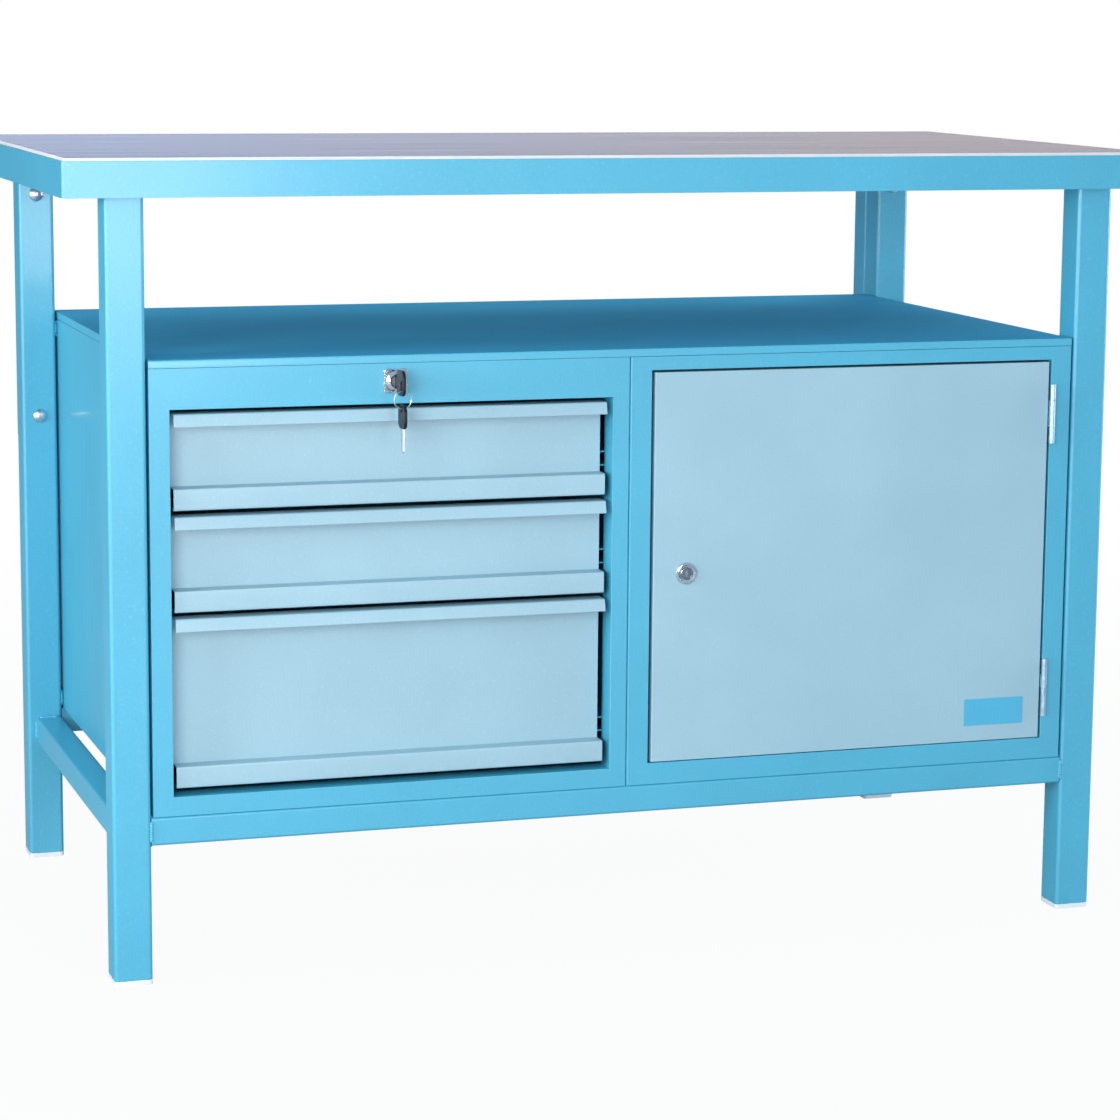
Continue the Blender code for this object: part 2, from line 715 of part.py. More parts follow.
def coach_bolt(bench, name, x, z):
    """A dome head, its shank and the nut behind the post, as one piece along Y."""
    seat = REAR_LEG_FRONT - SEAT
    profile = [(0.0, BOLT_BACK - seat), (BOLT_RADIUS, BOLT_BACK - seat), (BOLT_RADIUS, 0.0)]
    steps = CORNER_STEPS + 1
    for step in range(steps + 1):
        angle = math.radians(90 * step / steps)
        profile.append((BOLT_HEAD_RADIUS * math.cos(angle), -BOLT_HEAD_HEIGHT * math.sin(angle)))
    profile[-1] = (0.0, -BOLT_HEAD_HEIGHT)
    bolt = bench.turned(name, profile, bench.zinc, (x, seat, z), along_y=True)
    corner = NUT_WIDTH / 2 / math.cos(math.radians(30))
    nut = bench.tool(name + "_nut", rod((x, z), corner, NUT_FRONT, NUT_FRONT + NUT_THICKNESS, 6))
    join(bolt, nut)


def shelf(bench):
    """The sheet over both cabinets, with its edges folded down."""
    shape = box(
        (-CABINET_HALF, CABINET_FRONT, SHELF_HEIGHT - SHELF_LIP),
        (CABINET_HALF, CABINET_BACK, SHELF_HEIGHT),
    )
    open_side(shape, (0, 0, -1))
    upper = SHELF_HEIGHT - SHEET
    for axis in (0, 1):
        round_edges(shape, axis, SHELF_FOLD, FOLD_STEPS, lambda edge: edge.verts[0].co.z > upper)
    solidify(bench.piece("shelf_sheet", shape, bench.blue), SHEET)

    levels = (
        ("upper", SHELF_HEIGHT - SHELF_LIP - TAB_SETBACK - TAB_HEIGHT),
        ("lower", SHELL_BOTTOM + TAB_LOW_RISE),
    )
    for side, sign in (("left", -1), ("right", 1)):
        x_low, x_high = sorted((sign * (CABINET_HALF + SEAT), sign * (LEG_INNER - SEAT)))
        for level, z in levels:
            low = (x_low, CABINET_BACK - TAB_SETBACK - TAB_LENGTH, z)
            high = (x_high, CABINET_BACK - TAB_SETBACK, z + TAB_HEIGHT)
            bench.piece(f"weld_tab_{side}_{level}", box(low, high), bench.blue)


def front_frame(bench, name, x_lines, z_lines, inner_return):
    """A cabinet's front: a sheet ring with returns folded back outside and in the opening."""
    shape = bmesh.new()
    bmesh.ops.create_grid(shape, x_segments=3, y_segments=3, size=0.5)
    inner = []
    for vert in shape.verts:
        column = round((vert.co.x + 0.5) * 3)
        row = round((vert.co.y + 0.5) * 3)
        vert.co = (x_lines[column], CABINET_FRONT, z_lines[row])
        if column in (1, 2) and row in (1, 2):
            inner.append(vert)
    centre = next(face for face in shape.faces if all(vert in inner for vert in face.verts))
    bmesh.ops.delete(shape, geom=[centre], context="FACES_ONLY")
    rings = (
        ([edge for edge in shape.edges if edge.is_boundary and edge.verts[0] not in inner], FRAME_RETURN),
        ([edge for edge in shape.edges if edge.is_boundary and edge.verts[0] in inner], inner_return),
    )
    for edges, depth in rings:
        grown = bmesh.ops.extrude_edge_only(shape, edges=edges)["geom"]
        drawn = [item for item in grown if isinstance(item, bmesh.types.BMVert)]
        bmesh.ops.translate(shape, verts=drawn, vec=(0.0, depth, 0.0))
    bmesh.ops.recalc_face_normals(shape, faces=shape.faces)
    shape.normal_update()
    if faces_towards(shape, (0, 1, 0)):
        bmesh.ops.reverse_faces(shape, faces=shape.faces)
    frame = bench.piece(name, shape, bench.blue)
    solidify(frame, SHEET)
    return frame


def shell(bench, name, x_low, x_high):
    """A cabinet's sides, bottom and back, with a flange round its open top."""
    shape = box((x_low, SHELL_FRONT, SHELL_BOTTOM), (x_high, CABINET_BACK, CABINET_TOP))
    narrow_side(shape, (0, 0, 1), SHELL_TOP_FLANGE)
    open_side(shape, (0, -1, 0))
    case = bench.piece(name, shape, bench.blue)
    solidify(case, SHEET)
    return case


def drawer_spans():
    """Bottom and top of each drawer's front, from the top one down."""
    top = DRAWER_CEILING - DRAWER_TOP_GAP
    spans = []
    for _ in range(2):
        spans.append((top - SMALL_FRONT, top))
        top -= SMALL_FRONT + DRAWER_GAP
    spans.append((DRAWER_FLOOR + DRAWER_BOTTOM_GAP, top))
    return spans


def box_spans():
    """Bottom and top of each drawer's box, from the top one down."""
    drops = (BOX_TOP_DROP, BOX_TOP_DROP, LARGE_BOX_TOP_DROP)
    return [(low + BOX_RISE, high - drop) for (low, high), drop in zip(drawer_spans(), drops)]


def drawer_cabinet(bench):
    """Shell, front frame and runners of the cabinet on the left."""
    frame = front_frame(
        bench, "drawer_cabinet_frame",
        (-CABINET_HALF, DRAWER_LEFT, DRAWER_RIGHT, -CABINET_SEAM),
        (CABINET_BOTTOM, DRAWER_FLOOR, DRAWER_CEILING, CABINET_TOP), DRAWER_INNER_RETURN,
    )
    axis = (LOCK_X, DRAWER_LOCK_HEIGHT)
    lock_hole = rod(axis, LOCK_BARREL + SEAT, CABINET_FRONT - SHEET, CABINET_FRONT + 2 * SHEET)
    cut(frame, bench.tool("drawer_lock_hole", lock_hole))

    case = shell(bench, "drawer_cabinet_shell", -CABINET_HALF, -CABINET_SEAM)
    weld = CABINET_BACK - SHEET / 2
    levels = guide_levels()
    half = LOCK_BAR_WIDTH / 2 + GUIDE_WALL
    for number, level in enumerate(levels, 1):
        low = (BAR_X - half, BAR_FRONT - GUIDE_WALL, level - GUIDE_HEIGHT / 2)
        high = (BAR_X + half, weld, level + GUIDE_HEIGHT / 2)
        join(case, bench.tool(f"bar_guide_{number}", box(low, high)))
    slot = LOCK_BAR_WIDTH / 2 + GUIDE_PLAY
    low = (BAR_X - slot, BAR_FRONT - GUIDE_PLAY, min(levels) - GUIDE_HEIGHT)
    high = (BAR_X + slot, BAR_BACK + GUIDE_PLAY, max(levels) + GUIDE_HEIGHT)
    cut(case, bench.tool("bar_guide_slot", box(low, high)))

    bracket_front = CRANK_FRONT - BRACKET_GAP
    left = LOCK_X - BRACKET_LEFT_MARGIN
    right = BAR_X + LOCK_BAR_WIDTH / 2 + BRACKET_RIGHT_MARGIN
    path = [(left, weld), (left, bracket_front), (right, bracket_front), (right, weld)]
    low = DRAWER_LOCK_HEIGHT - BRACKET_HEIGHT / 2
    bracket = bench.tool("shaft_bracket", folded(path[::-1], "Z", low, low + BRACKET_HEIGHT))
    solidify(bracket, SHEET)
    join(case, bracket)
    bearing = rod(axis, SHAFT_RADIUS + SEAT, bracket_front - 2 * SHEET, bracket_front + 2 * SHEET)
    cut(case, bench.tool("shaft_bearing", bearing))

    for number, (low, _) in enumerate(box_spans(), 1):
        bottom = low + RUNNER_RISE
        top = bottom + RUNNER_HEIGHT
        for side, sign in (("left", -1), ("right", 1)):
            wall = -CABINET_HALF + SHEET + SEAT if sign < 0 else -CABINET_SEAM - SHEET - SEAT
            mouth = DRAWER_MIDDLE + sign * (BOX_HALF + RUNNER_MOUTH_GAP)
            path = [(mouth, bottom), (wall, bottom), (wall, top), (mouth, top)]
            if sign > 0:
                path.reverse()
            channel = folded(path, "Y", RUNNER_FRONT, RUNNER_BACK)
            solidify(bench.piece(f"runner_{number}_{side}", channel, bench.zinc), SHEET)


def guide_levels():
    """Heights of the two guides, clear of the hooks through the bar's whole travel."""
    hooks = hook_levels()
    middle_gap = (hooks[0] - HOOK_DROP - BAR_TRAVEL + hooks[1] + HOOK_THICKNESS) / 2
    low = hooks[2] - HOOK_DROP - BAR_TRAVEL - GUIDE_HEIGHT
    return (middle_gap, low)


def hook_levels():
    """Underside of each hook's arm at rest, from the top drawer down."""
    return [top - CATCH_DROP + HOOK_CLEARANCE + HOOK_DROP for _, top in box_spans()]


def drawers(bench):
    """Three drawers, each a folded front and a sheet box on slide members."""
    half = (DRAWER_RIGHT - DRAWER_LEFT) / 2 - DRAWER_SIDE_GAP
    for number, (span, box_span) in enumerate(zip(drawer_spans(), box_spans()), 1):
        slide = bench.pivot(f"drawer_{number}_slide", (DRAWER_MIDDLE, CABINET_FRONT, span[0]))
        front = folded(front_profile(*span), "X", DRAWER_MIDDLE - half, DRAWER_MIDDLE + half, FRONT_FOLD)
        solidify(bench.piece(f"drawer_{number}_front", front, bench.pale, slide), FRONT_SHEET)
        drawer_box(bench, number, slide, *box_span)


def front_profile(bottom, top):
    """Section of a drawer's front in y and z: pull lip, recessed panel, ledge and closed band."""
    lip = CABINET_FRONT - LIP_PROUD
    panel = CABINET_FRONT + PANEL_SETBACK + FRONT_SHEET
    band = CABINET_FRONT + BAND_SETBACK + FRONT_SHEET
    ledge = bottom + BAND_HEIGHT - FRONT_SHEET
    return [
        (lip, top - LIP_HEIGHT),
        (lip + LIP_LEAN, top),
        (panel, top),
        (panel, ledge),
        (band, ledge),
        (band, bottom + FRONT_SHEET),
        (band + BAND_FLANGE, bottom + FRONT_SHEET),
    ]


def drawer_box(bench, number, slide, bottom, top):
    """The sheet box, its slide members and the catch behind it that the lock's hook holds."""
    left = DRAWER_MIDDLE - BOX_HALF
    right = DRAWER_MIDDLE + BOX_HALF
    shape = box((left, BOX_FRONT, bottom), (right, BOX_BACK, top))
    open_side(shape, (0, 0, 1))
    tray = bench.piece(f"drawer_{number}_box", shape, bench.blue, slide)
    solidify(tray, BOX_SHEET)

    low = bottom + RUNNER_RISE + SHEET + SEAT
    high = bottom + RUNNER_RISE + RUNNER_HEIGHT - SHEET - SEAT
    for side, sign, wall in (("left", -1, left), ("right", 1, right)):
        root = wall - sign * BOX_SHEET / 2
        tip = wall + sign * SLIDE_WIDTH
        path = [(tip, low), (root, low), (root, high), (tip, high)]
        if sign < 0:
            path.reverse()
        channel = folded(path, "Y", RUNNER_FRONT, RUNNER_BACK - BOX_SHEET - HOOK_GAP)
        member = bench.tool(f"slide_{number}_{side}", channel)
        solidify(member, SHEET)
        join(tray, member)

    lip_top = top - CATCH_DROP
    path = [
        (BOX_BACK - BOX_SHEET / 2, lip_top - CATCH_HEIGHT),
        (CATCH_BACK, lip_top - CATCH_HEIGHT),
        (CATCH_BACK, lip_top),
    ]
    catch = folded(path[::-1], "X", BAR_X - CATCH_WIDTH / 2, BAR_X + CATCH_WIDTH / 2)
    strip = bench.tool(f"catch_{number}", catch)
    solidify(strip, BOX_SHEET)
    join(tray, strip)


def central_lock(bench):
    """Lock in the fascia, its shaft and crank, and the bar that holds all three drawers."""
    axis = (LOCK_X, DRAWER_LOCK_HEIGHT)
    half = LOCK_PLATE / 2
    plate_front = CABINET_FRONT - SEAT - LOCK_PLATE_THICKNESS
    plate = box(
        (LOCK_X - half, plate_front, DRAWER_LOCK_HEIGHT - half),
        (LOCK_X + half, CABINET_FRONT - SEAT, DRAWER_LOCK_HEIGHT + half),
    )
    body = bench.piece("drawer_lock_body", plate, bench.chrome)
    join(body, bench.tool("drawer_lock_barrel", rod(axis, LOCK_BARREL, LOCK_FACE, LOCK_BACK)))
    bore = rod(axis, PLUG_RADIUS + LOCK_PLAY, LOCK_FACE - SHEET, LOCK_BACK + SHEET)
    cut(body, bench.tool("drawer_lock_bore", bore))

    turn = bench.pivot("drawer_lock_turn", (LOCK_X, PLUG_FACE, DRAWER_LOCK_HEIGHT))
    back = CRANK_BACK - PLUG_FACE
    plug_back = LOCK_BACK - PLUG_FACE
    profile = [(0.0, back), (SHAFT_RADIUS, back), (SHAFT_RADIUS, plug_back)]
    profile += [(PLUG_RADIUS, plug_back), (PLUG_RADIUS, 0.0), (0.0, 0.0)]
    plug = bench.turned(
        "drawer_lock_plug", profile, bench.chrome, bench.place_of(turn), along_y=True, parent=turn
    )
    arm = box(
        (-CRANK_ARM_WIDTH / 2, CRANK_FRONT, -CRANK_ARM_WIDTH / 2),
        (CRANK_RADIUS + CRANK_ARM_WIDTH / 2, CRANK_BACK - SEAT, CRANK_ARM_WIDTH / 2),
    )
    arm.transform(Matrix.Rotation(-math.radians(CRANK_REST), 4, "Y"))
    arm.transform(Matrix.Translation((LOCK_X, 0.0, DRAWER_LOCK_HEIGHT)))
    join(plug, bench.tool("crank_arm", arm))
    pin = (LOCK_X + CRANK_SIDE, SLOT_HEIGHT)
    join(plug, bench.tool("crank_pin", rod(pin, CRANK_PIN, CRANK_FRONT + SEAT, BAR_BACK + CRANK_GAP)))
    reach = BLADE_WIDTH / 2 + SEAT
    keyway = box(
        (LOCK_X - KEYWAY_WIDTH / 2, PLUG_FACE - SHEET, DRAWER_LOCK_HEIGHT - reach),
        (LOCK_X + KEYWAY_WIDTH / 2, KEYWAY_BACK + SEAT, DRAWER_LOCK_HEIGHT + reach),
    )
    cut(plug, bench.tool("keyway", keyway))

    slide = bench.pivot("lock_bar_slide", (BAR_X, BAR_FRONT, SLOT_HEIGHT))
    profile = bar_profile()
    shape = outline([profile], "X", BAR_X - LOCK_BAR_WIDTH / 2, BAR_X + LOCK_BAR_WIDTH / 2)
    bar = bench.piece("lock_bar", shape, bench.zinc, slide)
    reach = CRANK_PIN + BAR_SLOT_PLAY
    slot = box(
        (LOCK_X + CRANK_SIDE - reach, BAR_FRONT - SHEET, SLOT_HEIGHT - reach),
        (LOCK_X + CRANK_RADIUS + reach, BAR_BACK + SHEET, SLOT_HEIGHT + reach),
    )
    cut(bar, bench.tool("lock_bar_slot", slot))
    return turn


def bar_profile():
    """Side view of the locking bar with its hooks, in y and z."""
    foot = guide_levels()[1] - LOCK_BAR_FOOT
    head = SLOT_HEIGHT + LOCK_BAR_HEAD
    profile = [(BAR_BACK, head), (BAR_BACK, foot), (BAR_FRONT, foot)]
    for arm in reversed(hook_levels()):
        profile += [
            (BAR_FRONT, arm),
            (HOOK_BACK, arm),
            (HOOK_BACK, arm - HOOK_DROP),
            (HOOK_FRONT, arm - HOOK_DROP),
            (HOOK_FRONT, arm + HOOK_THICKNESS),
            (BAR_FRONT, arm + HOOK_THICKNESS),
        ]
    profile.append((BAR_FRONT, head))
    return profile


def keys(bench, turn):
    """The key in the drawer lock, the ring in its eye and the spare key on the ring."""
    z = DRAWER_LOCK_HEIGHT
    rim = rounded_rectangle((BOW_FRONT, z - BOW_HEIGHT / 2), (BOW_BACK, z + BOW_HEIGHT / 2), BOW_CORNER)
    eye = rounded_rectangle(
        (EYE_Y - KEY_EYE, EYE_Z - KEY_EYE), (EYE_Y + KEY_EYE, EYE_Z - KEY_EYE + KEY_EYE_SLOT), KEY_EYE
    )
    bow = outline([rim, eye], "X", LOCK_X - BOW_THICKNESS / 2, LOCK_X + BOW_THICKNESS / 2)
    key = bench.piece("drawer_key", bow, bench.black, turn)
    blade = box(
        (LOCK_X - BLADE_THICKNESS / 2, BOW_BACK - KEY_JOINT, z - BLADE_WIDTH / 2),
        (LOCK_X + BLADE_THICKNESS / 2, KEYWAY_BACK, z + BLADE_WIDTH / 2),
    )
    join(key, bench.tool("key_blade", blade))

    swing = bench.pivot("key_ring_swing", (LOCK_X, EYE_Y, RING_TOP), turn)
    wire = []
    for step in range(WIRE_STEPS):
        angle = -2 * math.pi * step / WIRE_STEPS
        wire.append((RING_RADIUS + RING_WIRE * math.cos(angle), RING_WIRE * math.sin(angle)))
    bench.turned(
        "key_ring", wire, bench.zinc, (LOCK_X, EYE_Y, RING_MIDDLE), along_y=True, closed=True, parent=swing
    )

    hang = bench.pivot("spare_key_swing", (LOCK_X, EYE_Y, RING_BOTTOM), swing)
    half = SPARE_WIDTH / 2
    head = rounded_rectangle((EYE_Y - half, SPARE_TOP - SPARE_HEIGHT), (EYE_Y + half, SPARE_TOP), BOW_CORNER)
    eye = rounded_rectangle(
        (EYE_Y - KEY_EYE, SPARE_EYE_Z - KEY_EYE), (EYE_Y + KEY_EYE, SPARE_EYE_Z + KEY_EYE), KEY_EYE
    )
    shape = outline([head, eye], "X", LOCK_X - BOW_THICKNESS / 2, LOCK_X + BOW_THICKNESS / 2)
    spare = bench.piece("spare_key", shape, bench.black, hang)
    blade = box(
        (LOCK_X - BLADE_THICKNESS / 2, EYE_Y - BLADE_WIDTH / 2, SPARE_TOP - SPARE_HEIGHT - BLADE_LENGTH),
        (LOCK_X + BLADE_THICKNESS / 2, EYE_Y + BLADE_WIDTH / 2, SPARE_TOP - SPARE_HEIGHT + KEY_JOINT),
    )
    join(spare, bench.tool("spare_blade", blade))


def door_cabinet(bench):
    """Shell and front frame of the cabinet on the right."""
    front_frame(
        bench, "door_cabinet_frame",
        (CABINET_SEAM, DOOR_OPENING_LEFT, DOOR_OPENING_RIGHT, CABINET_HALF),
        (CABINET_BOTTOM, DOOR_FLOOR, DOOR_CEILING, CABINET_TOP), DOOR_INNER_RETURN,
    )
    shell(bench, "door_cabinet_shell", CABINET_SEAM, CABINET_HALF)


def door(bench):
    """The folded leaf, its two hinges and its cam lock."""
    hinge = bench.pivot("door_hinge", (HINGE_X, HINGE_Y, (DOOR_BOTTOM + DOOR_TOP) / 2))
    shape = box(
        (DOOR_LEFT, CABINET_FRONT, DOOR_BOTTOM), (DOOR_RIGHT, CABINET_FRONT + DOOR_DEPTH, DOOR_TOP)
    )
    narrow_side(shape, (0, 1, 0), DOOR_FLANGE)
    front = CABINET_FRONT + DOOR_SHEET
    round_edges(shape, 2, DOOR_EDGE, FOLD_STEPS, lambda edge: max(vert.co.y for vert in edge.verts) < front)
    leaf = bench.piece("door_leaf", shape, bench.pale, hinge)
    solidify(leaf, DOOR_SHEET)
    axis = (DOOR_LOCK_X, DOOR_LOCK_HEIGHT)
    lock_hole = rod(axis, DOOR_LOCK_BARREL + SEAT, CABINET_FRONT - DOOR_SHEET, CABINET_FRONT + 2 * DOOR_SHEET)
    cut(leaf, bench.tool("door_lock_hole", lock_hole))

    levels = (
        ("upper", DOOR_TOP - HINGE_MARGIN, UPPER_KNUCKLES),
        ("lower", DOOR_BOTTOM + HINGE_MARGIN, LOWER_KNUCKLES),
    )
    for level, centre, knuckles in levels:
        hinge_halves(bench, level, centre - HINGE_LENGTH / 2, knuckles, hinge)
    cam_lock(bench, hinge)


def hinge_halves(bench, level, bottom, knuckles, hinge):
    """Fixed outer knuckles on a pin, and the door's knuckle between them, each with its wing."""
    low_split = bottom + HINGE_LENGTH * knuckles[0]
    high_split = bottom + HINGE_LENGTH * knuckles[1]
    top = bottom + HINGE_LENGTH
    gap = SEAT / 2

    profile = [(0.0, top), (HINGE_RADIUS, top), (HINGE_RADIUS, high_split + gap)]
    profile += [(HINGE_PIN, high_split + gap), (HINGE_PIN, low_split - gap)]
    profile += [(HINGE_RADIUS, low_split - gap), (HINGE_RADIUS, bottom), (0.0, bottom)]
    fixed = bench.turned(f"hinge_{level}_fixed", profile, bench.hinge_steel, (HINGE_X, HINGE_Y, 0.0))
    wing_x = DOOR_OPENING_RIGHT - SEAT
    for end, low, high in (("low", bottom, low_split - gap), ("high", high_split + gap, top)):
        wing = box(
            (wing_x - HINGE_WING, HINGE_Y, low + gap), (wing_x, HINGE_Y + HINGE_WING_DEPTH, high - gap)
        )
        join(fixed, bench.tool(f"hinge_{level}_wing_{end}", wing))

    bottom = low_split + gap
    top = high_split - gap
    profile = [(HINGE_RADIUS, top), (HINGE_RADIUS, bottom), (HINGE_BORE, bottom), (HINGE_BORE, top)]
    point = (HINGE_X, HINGE_Y, 0.0)
    moving = bench.turned(
        f"hinge_{level}_moving", profile, bench.hinge_steel, point, closed=True, parent=hinge
    )
    wing_x = DOOR_RIGHT + SEAT
    wing = box(
        (wing_x, HINGE_Y, bottom + gap), (wing_x + HINGE_WING, HINGE_Y + HINGE_WING_DEPTH, top - gap)
    )
    join(moving, bench.tool(f"hinge_{level}_wing", wing))


def cam_lock(bench, hinge):
    """The door's cam lock: a rose with its barrel, and the plug with the cam behind the frame."""
    point = (DOOR_LOCK_X, CABINET_FRONT, DOOR_LOCK_HEIGHT)
    bore = DOOR_PLUG_RADIUS + LOCK_PLAY
    face = -DOOR_LOCK_PROUD
    profile = [
        (DOOR_LOCK_BARREL, DOOR_LOCK_LENGTH),
        (DOOR_LOCK_BARREL, -SEAT),
        (DOOR_LOCK_ROSE, -SEAT),
        (DOOR_LOCK_ROSE, face + DOOR_ROSE_CHAMFER),
        (DOOR_LOCK_ROSE - DOOR_ROSE_CHAMFER, face),
        (bore, face),
        (bore, DOOR_LOCK_LENGTH),
    ]
    bench.turned("door_lock_body", profile, bench.chrome, point, along_y=True, closed=True, parent=hinge)

    turn = bench.pivot("door_lock_turn", point, hinge)
    face += SEAT
    cam_back = CAM_FRONT + CAM_THICKNESS - CABINET_FRONT
    profile = [
        (0.0, cam_back + SHEET),
        (DOOR_PLUG_RADIUS - SEAT, cam_back + SHEET),
        (DOOR_PLUG_RADIUS, cam_back),
        (DOOR_PLUG_RADIUS, face),
        (0.0, face),
    ]
    plug = bench.turned("door_lock_plug", profile, bench.chrome, point, along_y=True, parent=turn)
    low = (-CAM_WIDTH / 2 + DOOR_LOCK_X, DOOR_LOCK_HEIGHT - CAM_LENGTH)
    high = (CAM_WIDTH / 2 + DOOR_LOCK_X, DOOR_LOCK_HEIGHT + CAM_EYE)
    cam = outline([rounded_rectangle(low, high, CAM_CORNER)], "Y", CAM_FRONT, CAM_FRONT + CAM_THICKNESS)
    join(plug, bench.tool("door_cam", cam))
    reach = BLADE_WIDTH / 2 + SEAT
    keyway = box(
        (DOOR_LOCK_X - KEYWAY_WIDTH / 2, CABINET_FRONT + face - SHEET, DOOR_LOCK_HEIGHT - reach),
        (DOOR_LOCK_X + KEYWAY_WIDTH / 2, CABINET_FRONT + face + BLADE_LENGTH, DOOR_LOCK_HEIGHT + reach),
    )
    cut(plug, bench.tool("door_keyway", keyway))


def smooth_round_pieces(bench):
    """Shade every mesh smooth, with its real edges kept sharp."""
    for obj in bench.parts.objects:
        if obj.type == "MESH" and obj.data.polygons:
            obj.data.shade_smooth()
            obj.data.set_sharp_from_angle(angle=SMOOTH_ANGLE)


def main():
    bench = Bench()
    worktop(bench)
    stand(bench)
    posts(bench)
    shelf(bench)
    drawer_cabinet(bench)
    drawers(bench)
    turn = central_lock(bench)
    keys(bench, turn)
    door_cabinet(bench)
    door(bench)
    smooth_round_pieces(bench)


main()
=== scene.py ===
"""Steel workbench: edges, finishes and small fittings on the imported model, and its studio."""

import json
import math

import bmesh
import bpy
from bpy.props import FloatProperty, FloatVectorProperty, IntProperty, PointerProperty
from mathutils import Matrix, Vector


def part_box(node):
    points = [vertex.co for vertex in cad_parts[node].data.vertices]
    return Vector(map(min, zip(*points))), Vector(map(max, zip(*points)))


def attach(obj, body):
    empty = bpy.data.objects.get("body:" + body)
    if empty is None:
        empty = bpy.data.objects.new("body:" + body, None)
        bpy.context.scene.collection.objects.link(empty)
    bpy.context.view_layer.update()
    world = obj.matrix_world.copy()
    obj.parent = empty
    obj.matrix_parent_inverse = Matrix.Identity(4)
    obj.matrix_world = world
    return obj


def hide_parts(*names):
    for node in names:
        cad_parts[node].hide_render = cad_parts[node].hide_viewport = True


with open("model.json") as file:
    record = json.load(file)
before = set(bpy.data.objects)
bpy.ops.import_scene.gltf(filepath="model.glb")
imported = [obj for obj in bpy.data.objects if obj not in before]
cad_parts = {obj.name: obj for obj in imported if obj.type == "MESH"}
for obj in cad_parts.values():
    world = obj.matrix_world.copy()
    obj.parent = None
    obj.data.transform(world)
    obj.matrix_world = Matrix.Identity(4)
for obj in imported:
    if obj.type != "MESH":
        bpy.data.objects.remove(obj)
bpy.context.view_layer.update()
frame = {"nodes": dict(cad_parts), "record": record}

bl_info = {
    "name": "Steel workbench",
    "version": (1, 0, 0),
    "blender": (4, 5, 0),
    "location": "3D View > Sidebar > Workbench",
    "description": "Dresses the packed workbench and sets up its studio",
    "category": "Object",
}

COLOUR = {"subtype": "COLOR", "min": 0.0, "max": 1.0}
LENGTH = {"unit": "LENGTH", "precision": 5}
POWER = {"unit": "POWER", "min": 0.0}
DIRECTIONS = {"X": Vector((1, 0, 0)), "Y": Vector((0, 1, 0)), "Z": Vector((0, 0, 1))}
SMOOTH_ANGLE = math.radians(35)
SHARP_ANGLE = math.radians(50)
FLAT_ANGLE = math.radians(1)
FLAT_WEIGHT = 90
# Above this cosine, two directions count as the same.
SAME_WAY = 0.99
SAME_PLACE = 0.00001
WHITE = (1.0, 1.0, 1.0, 1.0)
# Most of a noise pattern lies between these levels.
NOISE_RANGE = (0.30, 0.70)
# In each finish, a pair of tones holds the darkest and lightest share of its colour. Spots that stand
# out have a range of noise, how much they cover at its ends, and a tone.
CLOUD_SIZE = 0.12
GLOSS_SIZE = 0.05
GLOSS_SPREAD = (0.015, 0.02)
PAINT_TONES = (0.92, 1.07)
# The powder coat's pale specks are painted glints: lighter spots of its colour in place of the sparkle of
# its grain under the lamps.
GLINT_FLECK_GRAINS = 2
GLINT_FLECK_RANGE = (0.60, 0.72, 0.0, 0.42)
GLINT_FLECK_TONE = 1.28
PIT_GRAINS = 1.7
STROKE_SIZE = 0.016
STROKE_STRETCH = (0.035, 1.0, 1.0)
PATCH_SIZE = 0.22
FILM_RANGE = (0.32, 0.66)
FILM_TONES = (0.87, 1.13)
FILM_GLOSS = (0.14, 0.24)
FILM_GRAIN = 0.0014
FILM_RELIEF = 0.00003
RUB_SIZE = 0.004
RUB_STRETCH = (0.05, 1.0, 1.0)
RUB_RANGE = (0.62, 0.74, 0.0, 0.45)
RUB_TONE = 1.55
PLY_GRAIN = 0.003
PLY_STRETCH = (0.15, 0.15, 2.0)
PLY_RANGE = (0.25, 0.75)
PLY_TONES = (0.88, 1.10)
PLY_RELIEF = 0.00005
METAL_TONES = (0.86, 1.08)
METAL_GLOSS = (0.75, 1.3)
METAL_RELIEF = (0.00001, 0.00003)
SCRATCH_SIZE = 0.0006
SCRATCH_STRETCH = (1.0, 1.0, 0.12)
PLASTIC_TONES = (0.90, 1.08)
PLASTIC_GLOSS = 0.06
PLASTIC_RELIEF = 0.00003
CUT_EDGE = 0.0003
BOARD_CORNER = 0.0015

# Weld beads stop this far from the corners of what they join.
RAIL_WELD_INSET = 0.004
LEG_WELD_INSET = 0.005
TAB_WELD_INSET = 0.002
BEAD_SIDES = 10
BEAD_NECK = 0.78
BEAD_TIP = 0.45
BEAD_TAPER = 6.0

# The drawers' opening: where its right edge lies, and how far it moves to the right.
OPENING_EDGE = (-0.0222, -0.0192)
OPENING_SHIFT = 0.0024
# The tips of its returns lie more than this in front of the frame's back.
RETURN_MARGIN = 0.005
# The edges at the seam between the cabinets lie this close to the bench's middle.
SEAM_REACH = 0.0004
# The seam's folds are this many times rounder, and other edges lie this many fold radii from it.
SEAM_ROUNDNESS = 3
SEAM_CLEARANCE = 4

DOOR_FOLD = 0.0010
DOOR_SKIN = 0.0006
HINGE_EDGE = 0.0002
# The blank plate's distances from the door's right and lower edges, and how it sits on the door.
PLATE_RIGHT = 0.0205
PLATE_RISE = 0.0175
PLATE_FACE = 0.0004
PLATE_SINK = 0.0001
PLATE_CORNER = 0.0012
PLATE_EDGE = 0.00015

CLOSE_GAP = 0.0001
# The cam lock's rose: its shank, its bevel as what is taken from its radius, and its dished middle, each
# with the distance from its front. The plug's face is given likewise.
ROSE_SHANK = 0.0090
ROSE_BEVEL = ((0.0, 0.0013), (0.0004, 0.0005), (0.0014, 0.0), (0.0026, 0.0))
ROSE_DISH = ((0.0084, 0.0009), (0.0074, 0.0010), (0.0073, 0.0022))
PLUG_FACE = ((0.0069, 0.0006), (0.0063, 0.0001), (0.0058, 0.0))
